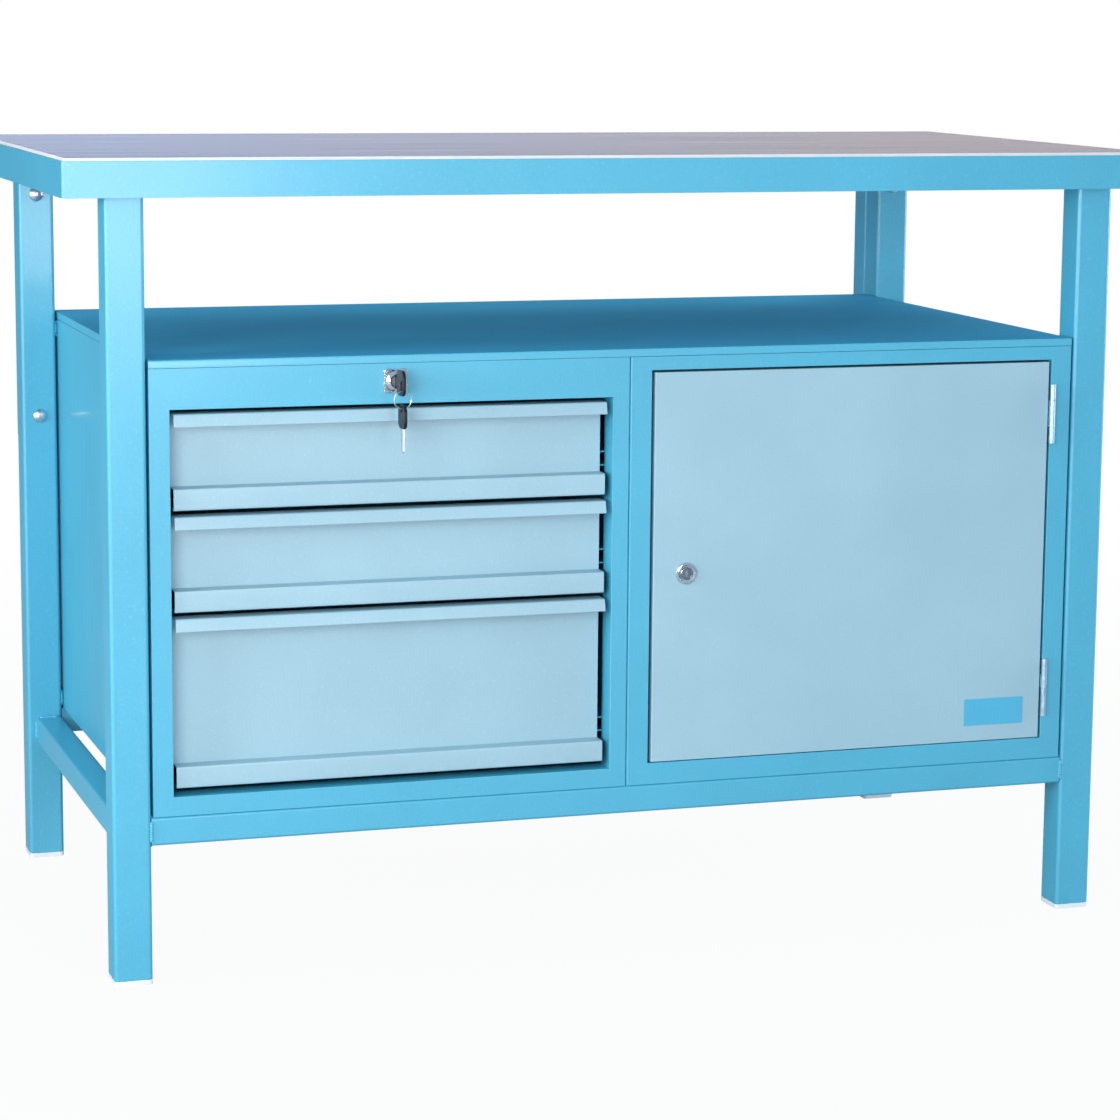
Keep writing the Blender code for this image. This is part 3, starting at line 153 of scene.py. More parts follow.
# Each slot in the cam lock's plug: half width, reach down, reach up and depth.
KEYWAYS = ((0.0009, 0.0038, 0.0038, 0.014), (0.0015, 0.0012, 0.0022, 0.013))
SLOT_START = 0.002
CAM_HALF = 0.007
CAM_TOP = 0.0085
CAM_CORNER = 0.0045
# The cam's faces lie this far in front of the plug's rear end.
CAM_BACK = (0.0035, 0.0015)

LOCK_SEAT_GAP = 0.0003
LOCK_PLATE = 0.0025
LOCK_PLATE_CORNER = 0.0022
LOCK_PLATE_EDGE = 0.0008
LOCK_PLATE_BORE = 0.0068
# The tool for the plate's bore starts and ends this far before and behind the plate's seat.
BORE_REACH = (0.004, 0.002)
LOCK_PLATE_FRONT = 0.002
NOSE_BORE = 0.0063
NOSE_RADIUS = 0.0085
# Radius and distance behind the nose's front, then radius and distance before the plate's seat.
NOSE_FRONT = ((NOSE_BORE, 0.0004), (0.0070, 0.0), (0.0076, 0.0), (NOSE_RADIUS, 0.0009))
NOSE_COLLAR = ((NOSE_RADIUS, 0.0043), (0.0100, 0.0036), (0.0104, 0.0024), (NOSE_RADIUS, 0.0022))

# From the end of a key's head: the head's length, the start and end of its eye, and the blade's start.
KEY_LENGTHS = (0.028, 0.0055, 0.0105, 0.0260)
SPARE_LENGTHS = (0.0245, 0.0025, 0.0075, 0.0225)
# The key's eye above its lower edge, and half the width of the spare key's eye.
KEY_EYE = (0.0036, 0.0156)
SPARE_EYE = 0.0025
HEAD_CORNER = 0.0078
HEAD_EDGE = 0.0007
EYE_CORNER = 0.00245
BLADE_HALF_THICKNESS = 0.0010
BLADE_HALF_WIDTH = 0.0040
BLADE_EDGE = 0.00015
BLADE_TIP = 0.0022
NEAR_TIP = 0.99
KEY_CUTS = (
    0.0, 0.0, 0.0, 0.0, 0.0008, 0.0018, 0.0010, 0.0022, 0.0022, 0.0012, 0.0019, 0.0010, 0.0016, 0.0028,
)
RING_WIRE = 0.00045
RING_INSET = 0.0005
RING_TURNS = 2
RING_STEPS = 120
# The distance between the middles of the ring's two ends, in radii of its wire.
RING_RISE = 2.4

BOLT_SHANK = 0.0040
BOLT_SEAT_GAP = 0.0002
THREAD_TIP = 0.0035
THREAD_ROOT = 0.0034
THREAD_PITCH = 0.0010
THREAD_START = 0.0080
# The last root's radius, and its distance behind the post.
THREAD_END = (0.0036, 0.007)
# Radius, near and far face behind the post, and how far their edges are broken inwards and along.
WASHER = (0.0084, 0.0003, 0.0015, 0.0002, 0.0002)
NUT = (0.0075, 0.0015, 0.0068, 0.0011, 0.0006)
NUT_SIDES = 6
DOME_RADIUS = 0.00825
DOME_STEPS = 8
DOME_TIP = 0.0006

FLOOR_RADIUS = 9.0
# Between these distances from its middle, the floor fades into white.
FLOOR_FADE = (0.8, 2.6)
FLOOR_SIDES = 96
# The light from all round grows with how far a direction points up and towards the camera, between two
# values, from its least to its full strength.
AMBIENT_SLOPE = (0.8, 0.6)
AMBIENT_RANGE = (-0.45, 0.30, 0.10, 1.0)
# The pale band behind the bench, in the height and side of a reflected direction.
BAND_TOP = (0.045, 0.062)
BAND_BOTTOM = (-0.02, 0.01)
BAND_AHEAD = 0.3
BAND_CHANGE = (0.18, 0.40)
LOOK_AT = Vector((0.0, -0.1, 0.45))
# Each lamp: its power's setting, place, width, and whether reflections show it.
LAMPS = {
    "key_lamp": ("key_power", (-1.7, -2.5, 1.02), 1.2, True),
    "front_lamp": ("front_power", (0.1, -5.0, 0.76), 1.1, True),
    "left_lamp": ("side_power", (-3.1, -0.9, 0.98), 0.9, True),
    "right_lamp": ("right_power", (3.0, -0.44, 0.88), 0.9, True),
    "rear_lamp": ("rear_power", (1.9, 2.6, 3.0), 1.8, False),
}
CAMERA_PLACE = (-1.1425, -3.58475, 1.00056)
CAMERA_PAN = 0.31966
CAMERA_TILT = 0.16261
CAMERA_ROLL = 0.00906
SENSOR_WIDTH = 36.0
# The photograph's width, and its focal length and middle in its pixels.
PHOTO_WIDTH = 1120
FOCAL_PIXELS = 3324.45
MIDDLE_PIXELS = (-20.56, -7.40)

DRAWERS = (1, 2, 3)
SIDES = ("left", "right")
ROWS = ("front", "rear")
LEVELS = ("upper", "lower")
LEG_NODES = tuple(f"leg_{row}_{side}" for row in ROWS for side in SIDES)
STAND_NODES = LEG_NODES + (
    "side_rail_left", "side_rail_right", "front_rail", "rear_rail", "rear_post_left", "rear_post_right",
)
TAB_NODES = tuple(f"weld_tab_{side}_{level}" for side in SIDES for level in LEVELS)
FOOT_NODES = tuple(f"foot_cap_{row}_{side}" for row in ROWS for side in SIDES)
RIM_NODES = {"rim_front": "X", "rim_rear": "X", "rim_left": "Y", "rim_right": "Y"}
RUNNER_NODES = tuple(f"runner_{number}_{side}" for number in DRAWERS for side in SIDES)
BOLT_NODES = tuple(f"coach_bolt_{side}_{level}" for side in SIDES for level in LEVELS)
HINGE_NODES = tuple(f"hinge_{level}_{half}" for level in LEVELS for half in ("fixed", "moving"))


class StandFinish(bpy.types.PropertyGroup):
    """Colour and surface of the stand's powder coat, and the painted shade on the shelf's upper face."""

    colour: FloatVectorProperty(
        name="Colour", description="Base colour of the blue paint", default=(0.052, 0.400, 0.565), **COLOUR
    )
    # Painted shade: the shelf's upper face takes the stand's paint made lighter and bluer, in place of the
    # bluish shade under the worktop.
    shelf_shade_colour: FloatVectorProperty(
        name="Shelf shade colour", description="Base colour of the shelf sheet's dull upper face",
        default=(0.075, 0.520, 0.800), **COLOUR
    )
    grain: FloatProperty(
        name="Grain", description="Size of the powder coat's fine grain", default=0.0020, min=0.0003,
        max=0.005, **LENGTH
    )
    relief: FloatProperty(
        name="Relief", description="Height of the powder coat's fine grain", default=0.00011, min=0.0,
        max=0.0005, **LENGTH
    )
    roughness: FloatProperty(
        name="Roughness", description="Roughness of the blue paint", default=0.48, min=0.05, max=1.0
    )


class FrontFinish(bpy.types.PropertyGroup):
    """Colour and surface of the drawers' and the door's powder coat."""

    colour: FloatVectorProperty(
        name="Colour", description="Base colour of the pale paint", default=(0.322, 0.500, 0.570), **COLOUR
    )
    grain: FloatProperty(
        name="Grain", description="Size of the fine grain on drawers and door", default=0.0010, min=0.0003,
        max=0.005, **LENGTH
    )
    roughness: FloatProperty(
        name="Roughness", description="Roughness of the pale paint", default=0.50, min=0.05, max=1.0
    )


class BoardFinish(bpy.types.PropertyGroup):
    """Colours of the plywood board."""

    film: FloatVectorProperty(
        name="Film", description="Colour of the smooth brown film on the board",
        default=(0.380, 0.320, 0.345), **COLOUR
    )
    edge: FloatVectorProperty(
        name="Edge", description="Colour of the bare plies at the board's edge",
        default=(0.830, 0.780, 0.740), **COLOUR
    )
    ply: FloatProperty(
        name="Ply", description="Thickness of one ply", default=0.0014, min=0.0005, max=0.004, **LENGTH
    )
    chamfer: FloatProperty(
        name="Chamfer", description="Width of the broken edge round the board's top", default=0.0008,
        min=0.0002, max=0.003, **LENGTH
    )


class FittingSizes(bpy.types.PropertyGroup):
    """Sizes of edges, welds and small fittings."""

    tube_edge: FloatProperty(
        name="Tube edge", description="Rounding of the cut ends of tubes and tabs", default=0.0004,
        min=0.0001, max=0.002, **LENGTH
    )
    sheet_edge: FloatProperty(
        name="Sheet edge", description="Rounding of the folds and cut edges of sheet", default=0.0006,
        min=0.0001, max=0.002, **LENGTH
    )
    weld_radius: FloatProperty(
        name="Weld bead", description="Radius of the weld beads at the rails' ends", default=0.0022,
        min=0.0005, max=0.005, **LENGTH
    )
    weld_ripple: FloatProperty(
        name="Weld ripple", description="Distance between two ripples of a weld bead", default=0.0028,
        min=0.001, max=0.01, **LENGTH
    )
    round_steps: IntProperty(
        name="Round steps", description="Facets round locks, bolts and hinges", default=48, min=16, max=96
    )
    plate_length: FloatProperty(
        name="Plate length", description="Length of the blank plate on the door", default=0.071, min=0.02,
        max=0.2, **LENGTH
    )
    plate_height: FloatProperty(
        name="Plate height", description="Height of the blank plate on the door", default=0.030, min=0.01,
        max=0.1, **LENGTH
    )


class StudioLook(bpy.types.PropertyGroup):
    """Lamps and surroundings."""

    key_power: FloatProperty(
        name="Key lamp", description="Power of the soft lamp to the left of the camera", default=42.0,
        **POWER
    )
    front_power: FloatProperty(
        name="Front lamp", description="Power of the soft lamp behind the camera", default=52.0, **POWER
    )
    side_power: FloatProperty(
        name="Left lamp", description="Power of the soft lamp on the left", default=50.0, **POWER
    )
    right_power: FloatProperty(
        name="Right lamp", description="Power of the soft lamp on the right", default=36.0, **POWER
    )
    rear_power: FloatProperty(
        name="Rear lamp", description="Power of the soft lamp behind and above", default=38.0, **POWER
    )
    ambient: FloatVectorProperty(
        name="Surroundings", description="Colour and level of the light from all round",
        default=(0.33, 0.48, 0.62), **COLOUR
    )
    floor: FloatVectorProperty(
        name="Floor", description="Colour of the floor", default=(0.46, 0.48, 0.50), **COLOUR
    )
    floor_glow: FloatProperty(
        name="Floor glow", description="Share of white in the floor beside the bench", default=0.95,
        min=0.0, max=1.0
    )
    backdrop_left: FloatVectorProperty(
        name="Backdrop, left", description="Colour of the left of the band that reflections show",
        default=(0.60, 0.69, 0.96), **COLOUR
    )
    backdrop_right: FloatVectorProperty(
        name="Backdrop, right", description="Colour of that band on the right", default=(0.61, 0.55, 0.57),
        **COLOUR
    )
    backdrop_level: FloatProperty(
        name="Backdrop level", description="Level of that band", default=1.6, min=0.0
    )


class Signal:
    """A node's output, with sums and products that add the nodes for them."""

    def __init__(self, tree, socket):
        self.tree = tree
        self.socket = socket

    def calculate(self, operation, first, second):
        return add_node(self.tree, "Math", {0: first, 1: second}, operation=operation)

    def __add__(self, other):
        return self.calculate("ADD", self, other)

    def __sub__(self, other):
        return self.calculate("SUBTRACT", self, other)

    def __rsub__(self, other):
        return self.calculate("SUBTRACT", other, self)

    def __mul__(self, other):
        return self.calculate("MULTIPLY", self, other)

    __radd__ = __add__
    __rmul__ = __mul__

    def above(self, level):
        return self.calculate("GREATER_THAN", self, level)

    def fold(self, period):
        return self.calculate("PINGPONG", self, period)


def fill(node, sockets):
    """Give a node's sockets their values or links, and return the node's first output."""
    tree = node.id_data
    for name, value in sockets.items():
        if isinstance(value, Signal):
            tree.links.new(value.socket, node.inputs[name])
        else:
            node.inputs[name].default_value = value
    return Signal(tree, node.outputs[0]) if node.outputs else None


def add_node(tree, kind, sockets, output=0, **settings):
    """A new node with its settings, then the values or links of its sockets; returns an output."""
    node = tree.nodes.new("ShaderNode" + kind)
    for name, value in settings.items():
        setattr(node, name, value)
    fill(node, sockets)
    return Signal(tree, node.outputs[output])


class Finish:
    """A procedural material on one Principled shader, with patterns in metres on the object."""

    def __init__(self, name, roughness, metallic=0.0, coat=0.0, coat_roughness=0.2, specular=0.5):
        self.material = bpy.data.materials.new(name)
        self.material.use_nodes = True
        self.tree = self.material.node_tree
        self.surface = fill(self.tree.nodes["Principled BSDF"], {
            "Roughness": roughness, "Metallic": metallic, "Coat Weight": coat,
            "Coat Roughness": coat_roughness, "Specular IOR Level": specular,
        })
        self.coordinates = add_node(self.tree, "TexCoord", {}, "Object")

    def noise(self, size, detail=2.0, stretch=(1.0, 1.0, 1.0), roughness=0.5):
        """A soft random pattern whose spots have about the given size, from 0 to 1."""
        place = add_node(self.tree, "Mapping", {"Vector": self.coordinates, "Scale": stretch})
        sockets = {"Vector": place, "Scale": 1.0 / size, "Detail": detail, "Roughness": roughness}
        return add_node(self.tree, "TexNoise", sockets, "Fac")

    def cells(self, size):
        """Distance to the nearest of scattered points, about a cell's size apart."""
        sockets = {"Vector": self.coordinates, "Scale": 1.0 / size}
        return add_node(self.tree, "TexVoronoi", sockets, "Distance")

    def along(self, axis):
        """A coordinate of the object in metres."""
        return add_node(self.tree, "SeparateXYZ", {0: self.coordinates}, axis)

    def between(self, factor, first, second):
        """A colour between two colours or colour signals."""
        first, second = (end if isinstance(end, Signal) else (*end, 1.0) for end in (first, second))
        sockets = {"Factor": factor, 6: first, 7: second}
        return add_node(self.tree, "Mix", sockets, 2, data_type="RGBA")

    def toned(self, factor, colour, dark, light):
        """A colour signal between a darker and a lighter tone of one colour."""
        return self.between(factor, shade(colour, dark), shade(colour, light))

    def relief(self, height, depth):
        """Bumps of a depth in metres."""
        sockets = {"Distance": depth, "Strength": 1.0, "Height": height}
        self.drive("Normal", add_node(self.tree, "Bump", sockets, "Normal"))

    def drive(self, socket, value):
        fill(self.tree.nodes["Principled BSDF"], {socket: value})


def spread(signal, low, high, to_low, to_high):
    """A signal's range from low to high, drawn out to another range and held at its ends."""
    sockets = {"Value": signal, "From Min": low, "From Max": high, "To Min": to_low, "To Max": to_high}
    return add_node(signal.tree, "MapRange", sockets, "Result")


def mix_surfaces(factor, first, second):
    """Two shaders mixed by a signal."""
    return add_node(factor.tree, "MixShader", {"Fac": factor, 1: first, 2: second})


def shade(colour, level):
    """A colour made lighter or darker."""
    return tuple(min(1.0, part * level) for part in colour)


def powder_coat(name, colour, grain, relief, roughness, coat, specular=1.0):
    """Sprayed and baked powder paint: grain, faint clouds, pale specks that are painted glints of its
    grain, and gloss that varies a little.
    """
    made = Finish(name, roughness, coat=coat, coat_roughness=0.16, specular=specular)
    fine = made.noise(grain)
    mixed = fine * 0.5 + made.noise(CLOUD_SIZE, 3.0) * 0.5
    plain = made.toned(spread(mixed, *NOISE_RANGE, 0.0, 1.0), colour, *PAINT_TONES)
    # Painted glints: pale specks where the grain's noise is high, in place of the grain's sparkle.
    painted_glints = spread(made.noise(GLINT_FLECK_GRAINS * grain, 3.0), *GLINT_FLECK_RANGE)
    made.drive("Base Color", made.between(painted_glints, plain, shade(colour, GLINT_FLECK_TONE)))
    shiniest, dullest = roughness - GLOSS_SPREAD[0], roughness + GLOSS_SPREAD[1]
    made.drive("Roughness", spread(made.noise(GLOSS_SIZE), *NOISE_RANGE, shiniest, dullest))
    made.relief(fine * 0.6 + made.cells(grain * PIT_GRAINS) * 0.4, relief)
    return made.material


def film_coat(name, colour):
    """Smooth brown film: long faint strokes, light rub marks and a satin gloss."""
    made = Finish(name, 0.20, coat=0.50, coat_roughness=0.10)
    strokes = made.noise(STROKE_SIZE, 4.0, STROKE_STRETCH, 0.6)
    mixed = strokes * 0.6 + made.noise(PATCH_SIZE, 3.0) * 0.4
    plain = made.toned(spread(mixed, *FILM_RANGE, 0.0, 1.0), colour, *FILM_TONES)
    rubbed = spread(made.noise(RUB_SIZE, 3.0, RUB_STRETCH, 0.7), *RUB_RANGE)
    made.drive("Base Color", made.between(rubbed, plain, shade(colour, RUB_TONE)))
    made.drive("Roughness", spread(strokes, *NOISE_RANGE, *FILM_GLOSS))
    made.relief(strokes * 0.4 + made.noise(FILM_GRAIN) * 0.6, FILM_RELIEF)
    return made.material


def bare_plies(name, colour, ply):
    """The sawn edge of plywood: pale plies with their grain end-on and lengthwise in turn."""
    made = Finish(name, 0.55)
    layer = made.along("Z").fold(ply) * (1.0 / ply)
    grain = made.noise(PLY_GRAIN, 3.0, PLY_STRETCH)
    tone = spread(layer * 0.45 + grain * 0.55, *PLY_RANGE, 0.0, 1.0)
    made.drive("Base Color", made.toned(tone, colour, *PLY_TONES))
    made.relief(layer * 0.5 + grain * 0.5, PLY_RELIEF)
    return made.material


def bright_metal(name, colour, roughness, brushed=0.0, patch=0.004):
    """Plated metal: clouded plating, fine scratches and a gloss that varies."""
    made = Finish(name, roughness, metallic=1.0)
    patches = made.noise(patch, 3.0)
    tone = spread(patches, *NOISE_RANGE, 0.0, 1.0)
    made.drive("Base Color", made.toned(tone, colour, *METAL_TONES))
    scratches = made.noise(SCRATCH_SIZE, 2.0, SCRATCH_STRETCH)
    wear = patches * 0.5 + scratches * 0.5
    shiniest, dullest = (roughness * share for share in METAL_GLOSS)
    made.drive("Roughness", spread(wear, *NOISE_RANGE, shiniest, dullest))
    made.relief(scratches, METAL_RELIEF[0] + METAL_RELIEF[1] * brushed)
    return made.material


def moulded_plastic(name, colour, roughness, grain=0.0007, specular=0.5):
    """Moulded plastic with a fine spark texture."""
    made = Finish(name, roughness, specular=specular)
    spots = made.noise(grain)
    made.drive("Base Color", made.toned(spots, colour, *PLASTIC_TONES))
    shiniest, dullest = roughness - PLASTIC_GLOSS, roughness + PLASTIC_GLOSS
    made.drive("Roughness", spread(spots, *NOISE_RANGE, shiniest, dullest))
    made.relief(spots, PLASTIC_RELIEF)
    return made.material


FINISHES = {}


def finishes():
    """All finishes by name, made on their first use."""
    if not FINISHES:
        scene = bpy.context.scene
        stand = scene.bench_stand
        front = scene.bench_front
        board = scene.bench_board
        FINISHES.update({
            "stand_paint": powder_coat(
                "blue powder coat", stand.colour, stand.grain, stand.relief, stand.roughness, 0.36
            ),
            # Painted shade: the shelf's upper face, in a lighter and bluer copy of the stand's paint.
            "shelf_shade_paint": powder_coat(
                "dull blue powder coat", stand.shelf_shade_colour, stand.grain, stand.relief, 0.65, 0.0, 0.30
            ),
            "front_paint": powder_coat(
                "pale powder coat", front.colour, front.grain, 0.00004, front.roughness, 0.12
            ),
            "board": film_coat("brown film", board.film),
            "plies": bare_plies("bare plies", board.edge, board.ply),
            "zinc": bright_metal("zinc plating", (0.66, 0.70, 0.74), 0.34, 0.5),
            "chrome": bright_metal("chrome plating", (0.80, 0.83, 0.87), 0.12, 0.0, 0.006),
            "core_chrome": bright_metal("darker chrome", (0.34, 0.37, 0.42), 0.18, 0.0, 0.006),
            "hinge_steel": bright_metal("hinge plating", (0.50, 0.66, 0.76), 0.36, 0.3),
            "foot_plastic": moulded_plastic("white foot plastic", (0.80, 0.84, 0.88), 0.50),
            "key_plastic": moulded_plastic(
                "black key plastic", (0.006, 0.010, 0.014), 0.36, specular=0.25
            ),
            "blank_plate": moulded_plastic("blue label film", (0.085, 0.440, 0.640), 0.40, 0.0015),
        })
    return FINISHES


def body_of(node):
    """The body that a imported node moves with."""
    bodies = frame["record"]["behaviour"]["bodies"]
    return next(body for body, members in bodies.items() if node in members)


def take(obj):
    """Make an object the only selected one."""
    if bpy.context.object and bpy.context.object.mode != "OBJECT":
        bpy.ops.object.mode_set(mode="OBJECT")
    clear_selection()
    obj.select_set(True)
    bpy.context.view_layer.objects.active = obj


def clear_selection():
    bpy.ops.object.select_all(action="DESELECT")


def newest(name):
    """The primitive that was just added, named and with its place in its mesh."""
    obj = bpy.context.object
    obj.name = name
    obj.data.name = name
    bpy.ops.object.transform_apply(location=True, rotation=True, scale=True)
    return obj


def shape_up(obj):
    """Go into edit mode on one object."""
    take(obj)
    bpy.ops.object.mode_set(mode="EDIT")


def leave_shape():
    bpy.ops.object.mode_set(mode="OBJECT")


def pick(obj, kind, test):
    """In edit mode, select the corners, edges or faces that pass a test, and nothing else."""
    bpy.ops.mesh.select_mode(type=kind)
    bpy.ops.mesh.select_all(action="DESELECT")
    shape = bmesh.from_edit_mesh(obj.data)
    shape.normal_update()
    items = {"VERT": shape.verts, "EDGE": shape.edges, "FACE": shape.faces}[kind]
    found = 0
    for item in items:
        if test(item):
            item.select_set(True)
            found += 1
    shape.select_flush_mode()
    bmesh.update_edit_mesh(obj.data)
    return found


def outward(edge):
    """True for a sharp edge that sticks out."""
    return len(edge.link_faces) == 2 and edge.is_convex and edge.calc_face_angle() > SHARP_ANGLE


def run_of(edge):
    """The direction in which an edge runs."""
    return (edge.verts[0].co - edge.verts[1].co).normalized()


def runs(edge, axis):
    """True for an edge that runs along an axis."""
    return abs(run_of(edge).dot(DIRECTIONS[axis])) > SAME_WAY


def back_of(edge):
    """How far back an edge reaches."""
    return max(vert.co.y for vert in edge.verts)


def middle(low, high):
    """The middle of a box from the front, at y = 0."""
    return (low.x + high.x) / 2, 0, (low.z + high.z) / 2


def smooth(obj):
    """Smooth shading with true flats, as on pressed and machined metal."""
    take(obj)
    bpy.ops.object.shade_smooth_by_angle(angle=SMOOTH_ANGLE)
    weighted = obj.modifiers.new("flats", "WEIGHTED_NORMAL")
    weighted.keep_sharp = True
    weighted.weight = FLAT_WEIGHT
    bpy.ops.object.modifier_apply(modifier=weighted.name)


def settle(obj, finish, body, slot, *nodes):
    """Give a finished piece its material and its body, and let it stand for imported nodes."""
    smooth(obj)
    if not isinstance(finish, (list, tuple)):
        finish = (finish,)
    obj.data.materials.clear()
    for name in finish:
        obj.data.materials.append(finishes()[name])
    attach(obj, body)
    if nodes:
        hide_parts(*nodes)
    return obj


def softened(node, radius, test=None):
    """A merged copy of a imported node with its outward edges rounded."""
    source = frame["nodes"][node]
    obj = bpy.data.objects.new(node + "_dressed", source.data.copy())
    bpy.context.scene.collection.objects.link(obj)
    take(obj)
    bpy.ops.mesh.customdata_custom_splitnormals_clear()
    shape_up(obj)
    bpy.ops.mesh.select_all(action="SELECT")
    bpy.ops.mesh.remove_doubles(threshold=SAME_PLACE)
    bpy.ops.mesh.dissolve_limited(angle_limit=FLAT_ANGLE)
    if radius and pick(obj, "EDGE", lambda edge: outward(edge) and (test is None or test(edge))):
        bpy.ops.mesh.bevel(offset=radius, segments=3, affect="EDGES", clamp_overlap=True)
    leave_shape()
    return obj


def dress(node, radius, finish, test=None):
    """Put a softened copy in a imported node's place."""
    return settle(softened(node, radius, test), finish, body_of(node), finish, node)


def turned(name, profile, centre, axis, steps):
    """A round piece, drawn out ring by ring along an axis from (radius, distance) pairs."""
    turn = {"X": (0, math.radians(90), 0), "Y": (math.radians(-90), 0, 0), "Z": (0, 0, 0)}[axis]
    along = DIRECTIONS[axis]
    centre = Vector(centre)
    radius, distance = profile[0]
    clear_selection()
    bpy.ops.mesh.primitive_circle_add(
        vertices=steps, radius=radius, fill_type="NGON", location=centre + along * distance, rotation=turn
    )
    obj = newest(name)
    shape_up(obj)
    pick(obj, "EDGE", lambda edge: True)
    shrink_mask = Vector((1, 1, 1)) - along
    for next_radius, next_distance in profile[1:]:
        bpy.ops.mesh.extrude_edges_move(
            TRANSFORM_OT_translate={"value": along * (next_distance - distance)}
        )
        if next_radius != radius:
            value = along + shrink_mask * (next_radius / radius)
            bpy.ops.transform.resize(value=value, center_override=centre + along * next_distance)
        radius, distance = next_radius, next_distance
    bpy.ops.mesh.edge_face_add()
    bpy.ops.mesh.select_all(action="SELECT")
    bpy.ops.mesh.normals_make_consistent(inside=False)
    leave_shape()
    return obj


def disc(base, radius, start, end, inward, along):
    """Profile of a disc behind a base, with both its edges broken."""
    start = base + start
    end = base + end
    flat = radius - inward
    return [(flat, start), (radius, start + along), (radius, end - along), (flat, end)]


def block(name, low, high):
    """A cube primitive between two corners."""
    low = Vector(low)
    high = Vector(high)
    clear_selection()
    bpy.ops.mesh.primitive_cube_add(size=1.0, location=(low + high) / 2, scale=high - low)
    return newest(name)


def rounded(obj, radius, segments, test=outward):
    """Round the edges that pass a test."""
    shape_up(obj)
    if pick(obj, "EDGE", test):
        bpy.ops.mesh.bevel(offset=radius, segments=segments, affect="EDGES", clamp_overlap=True)
    leave_shape()
    return obj


def joined(name, *parts):
    """Several shapes as one piece."""
    take(parts[0])
    for part in parts:
        part.select_set(True)
    bpy.ops.object.join()
    parts[0].name = name
    return parts[0]


def carve(obj, tool):
    """Cut a tool's shape out of a piece, and take the tool away."""
    change = obj.modifiers.new("carve", "BOOLEAN")
    change.operation = "DIFFERENCE"
    change.solver = "EXACT"
    change.object = tool
    take(obj)
    bpy.ops.object.modifier_apply(modifier=change.name)
    bpy.data.objects.remove(tool, do_unlink=True)
    return obj


class WORKBENCH_OT_board(bpy.types.Operator):
    """Plywood board with film on its faces, bare plies at its edge and a broken upper edge"""

    bl_idname = "workbench.board"
    bl_label = "Worktop board"

    def execute(self, context):
        low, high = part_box("worktop_board")
        board = block("worktop_board_dressed", low, high)
        upper = high.z - SAME_PLACE
        rounded(board, BOARD_CORNER, 3, lambda edge: runs(edge, "Z"))
        rounded(
            board, context.scene.bench_board.chamfer, 2,
            lambda edge: outward(edge) and min(vert.co.z for vert in edge.verts) > upper,
        )
        settle(board, ("board", "plies"), body_of("worktop_board"), "board", "worktop_board")
        for face in board.data.polygons:
            face.material_index = 0 if abs(face.normal.z) > SAME_WAY else 1
        return {"FINISHED"}


class WORKBENCH_OT_rim(bpy.types.Operator):
    """The four mitred angles round the board, with soft long edges"""

    bl_idname = "workbench.rim"
    bl_label = "Worktop rim"

    def execute(self, context):
        radius = context.scene.bench_fittings.sheet_edge
        for node, axis in RIM_NODES.items():
            dress(node, radius, "stand_paint", lambda edge, axis=axis: runs(edge, axis))
        return {"FINISHED"}


class WORKBENCH_OT_stand(bpy.types.Operator):
    """Legs, rails, rear posts and weld tabs, with smooth tube corners and softened ends"""

    bl_idname = "workbench.stand"
    bl_label = "Stand"

    def execute(self, context):
        radius = context.scene.bench_fittings.tube_edge
        for node in STAND_NODES + TAB_NODES:
            dress(node, radius, "stand_paint")
        for node in FOOT_NODES:
            dress(node, radius, "foot_plastic")
        return {"FINISHED"}


class WORKBENCH_OT_welds(bpy.types.Operator):
    """Rippled weld beads where rails, tabs and rim meet the legs"""

    bl_idname = "workbench.welds"
    bl_label = "Weld beads"

    def execute(self, context):
        for count, (start, end) in enumerate(weld_lines(), 1):
            self.bead(context.scene.bench_fittings, f"weld_bead_{count:02d}", start, end)
        return {"FINISHED"}

    def bead(self, sizes, name, start, end):
        """A rod along a joint, swollen at every ripple."""
        start = Vector(start)
        end = Vector(end)
        run = end - start
        turn = run.to_track_quat("Z", "Y").to_euler()
        clear_selection()
        bpy.ops.mesh.primitive_cylinder_add(
            vertices=BEAD_SIDES, radius=sizes.weld_radius, depth=run.length, end_fill_type="TRIFAN",
            location=(start + end) / 2, rotation=turn,
        )
        bead = newest(name)
        shape_up(bead)
        ripples = max(2, round(run.length / sizes.weld_ripple))
        direction = run.normalized()
        pick(bead, "EDGE", lambda edge: abs(run_of(edge).dot(direction)) > SAME_WAY)
        bpy.ops.mesh.subdivide(number_cuts=4 * ripples - 1)
        shape = bmesh.from_edit_mesh(bead.data)
        for vert in shape.verts:
            travel = (vert.co - start).dot(direction)
            centre = start + direction * travel
            share = travel / run.length
            swell = BEAD_NECK + (1.0 - BEAD_NECK) * abs(math.sin(math.pi * ripples * share))
            taper = min(1.0, BEAD_TIP + BEAD_TAPER * min(share, 1.0 - share))
            vert.co = centre + (vert.co - centre) * swell * taper
        bmesh.update_edit_mesh(bead.data)
        leave_shape()
        settle(bead, "stand_paint", "carcass", "stand_paint")


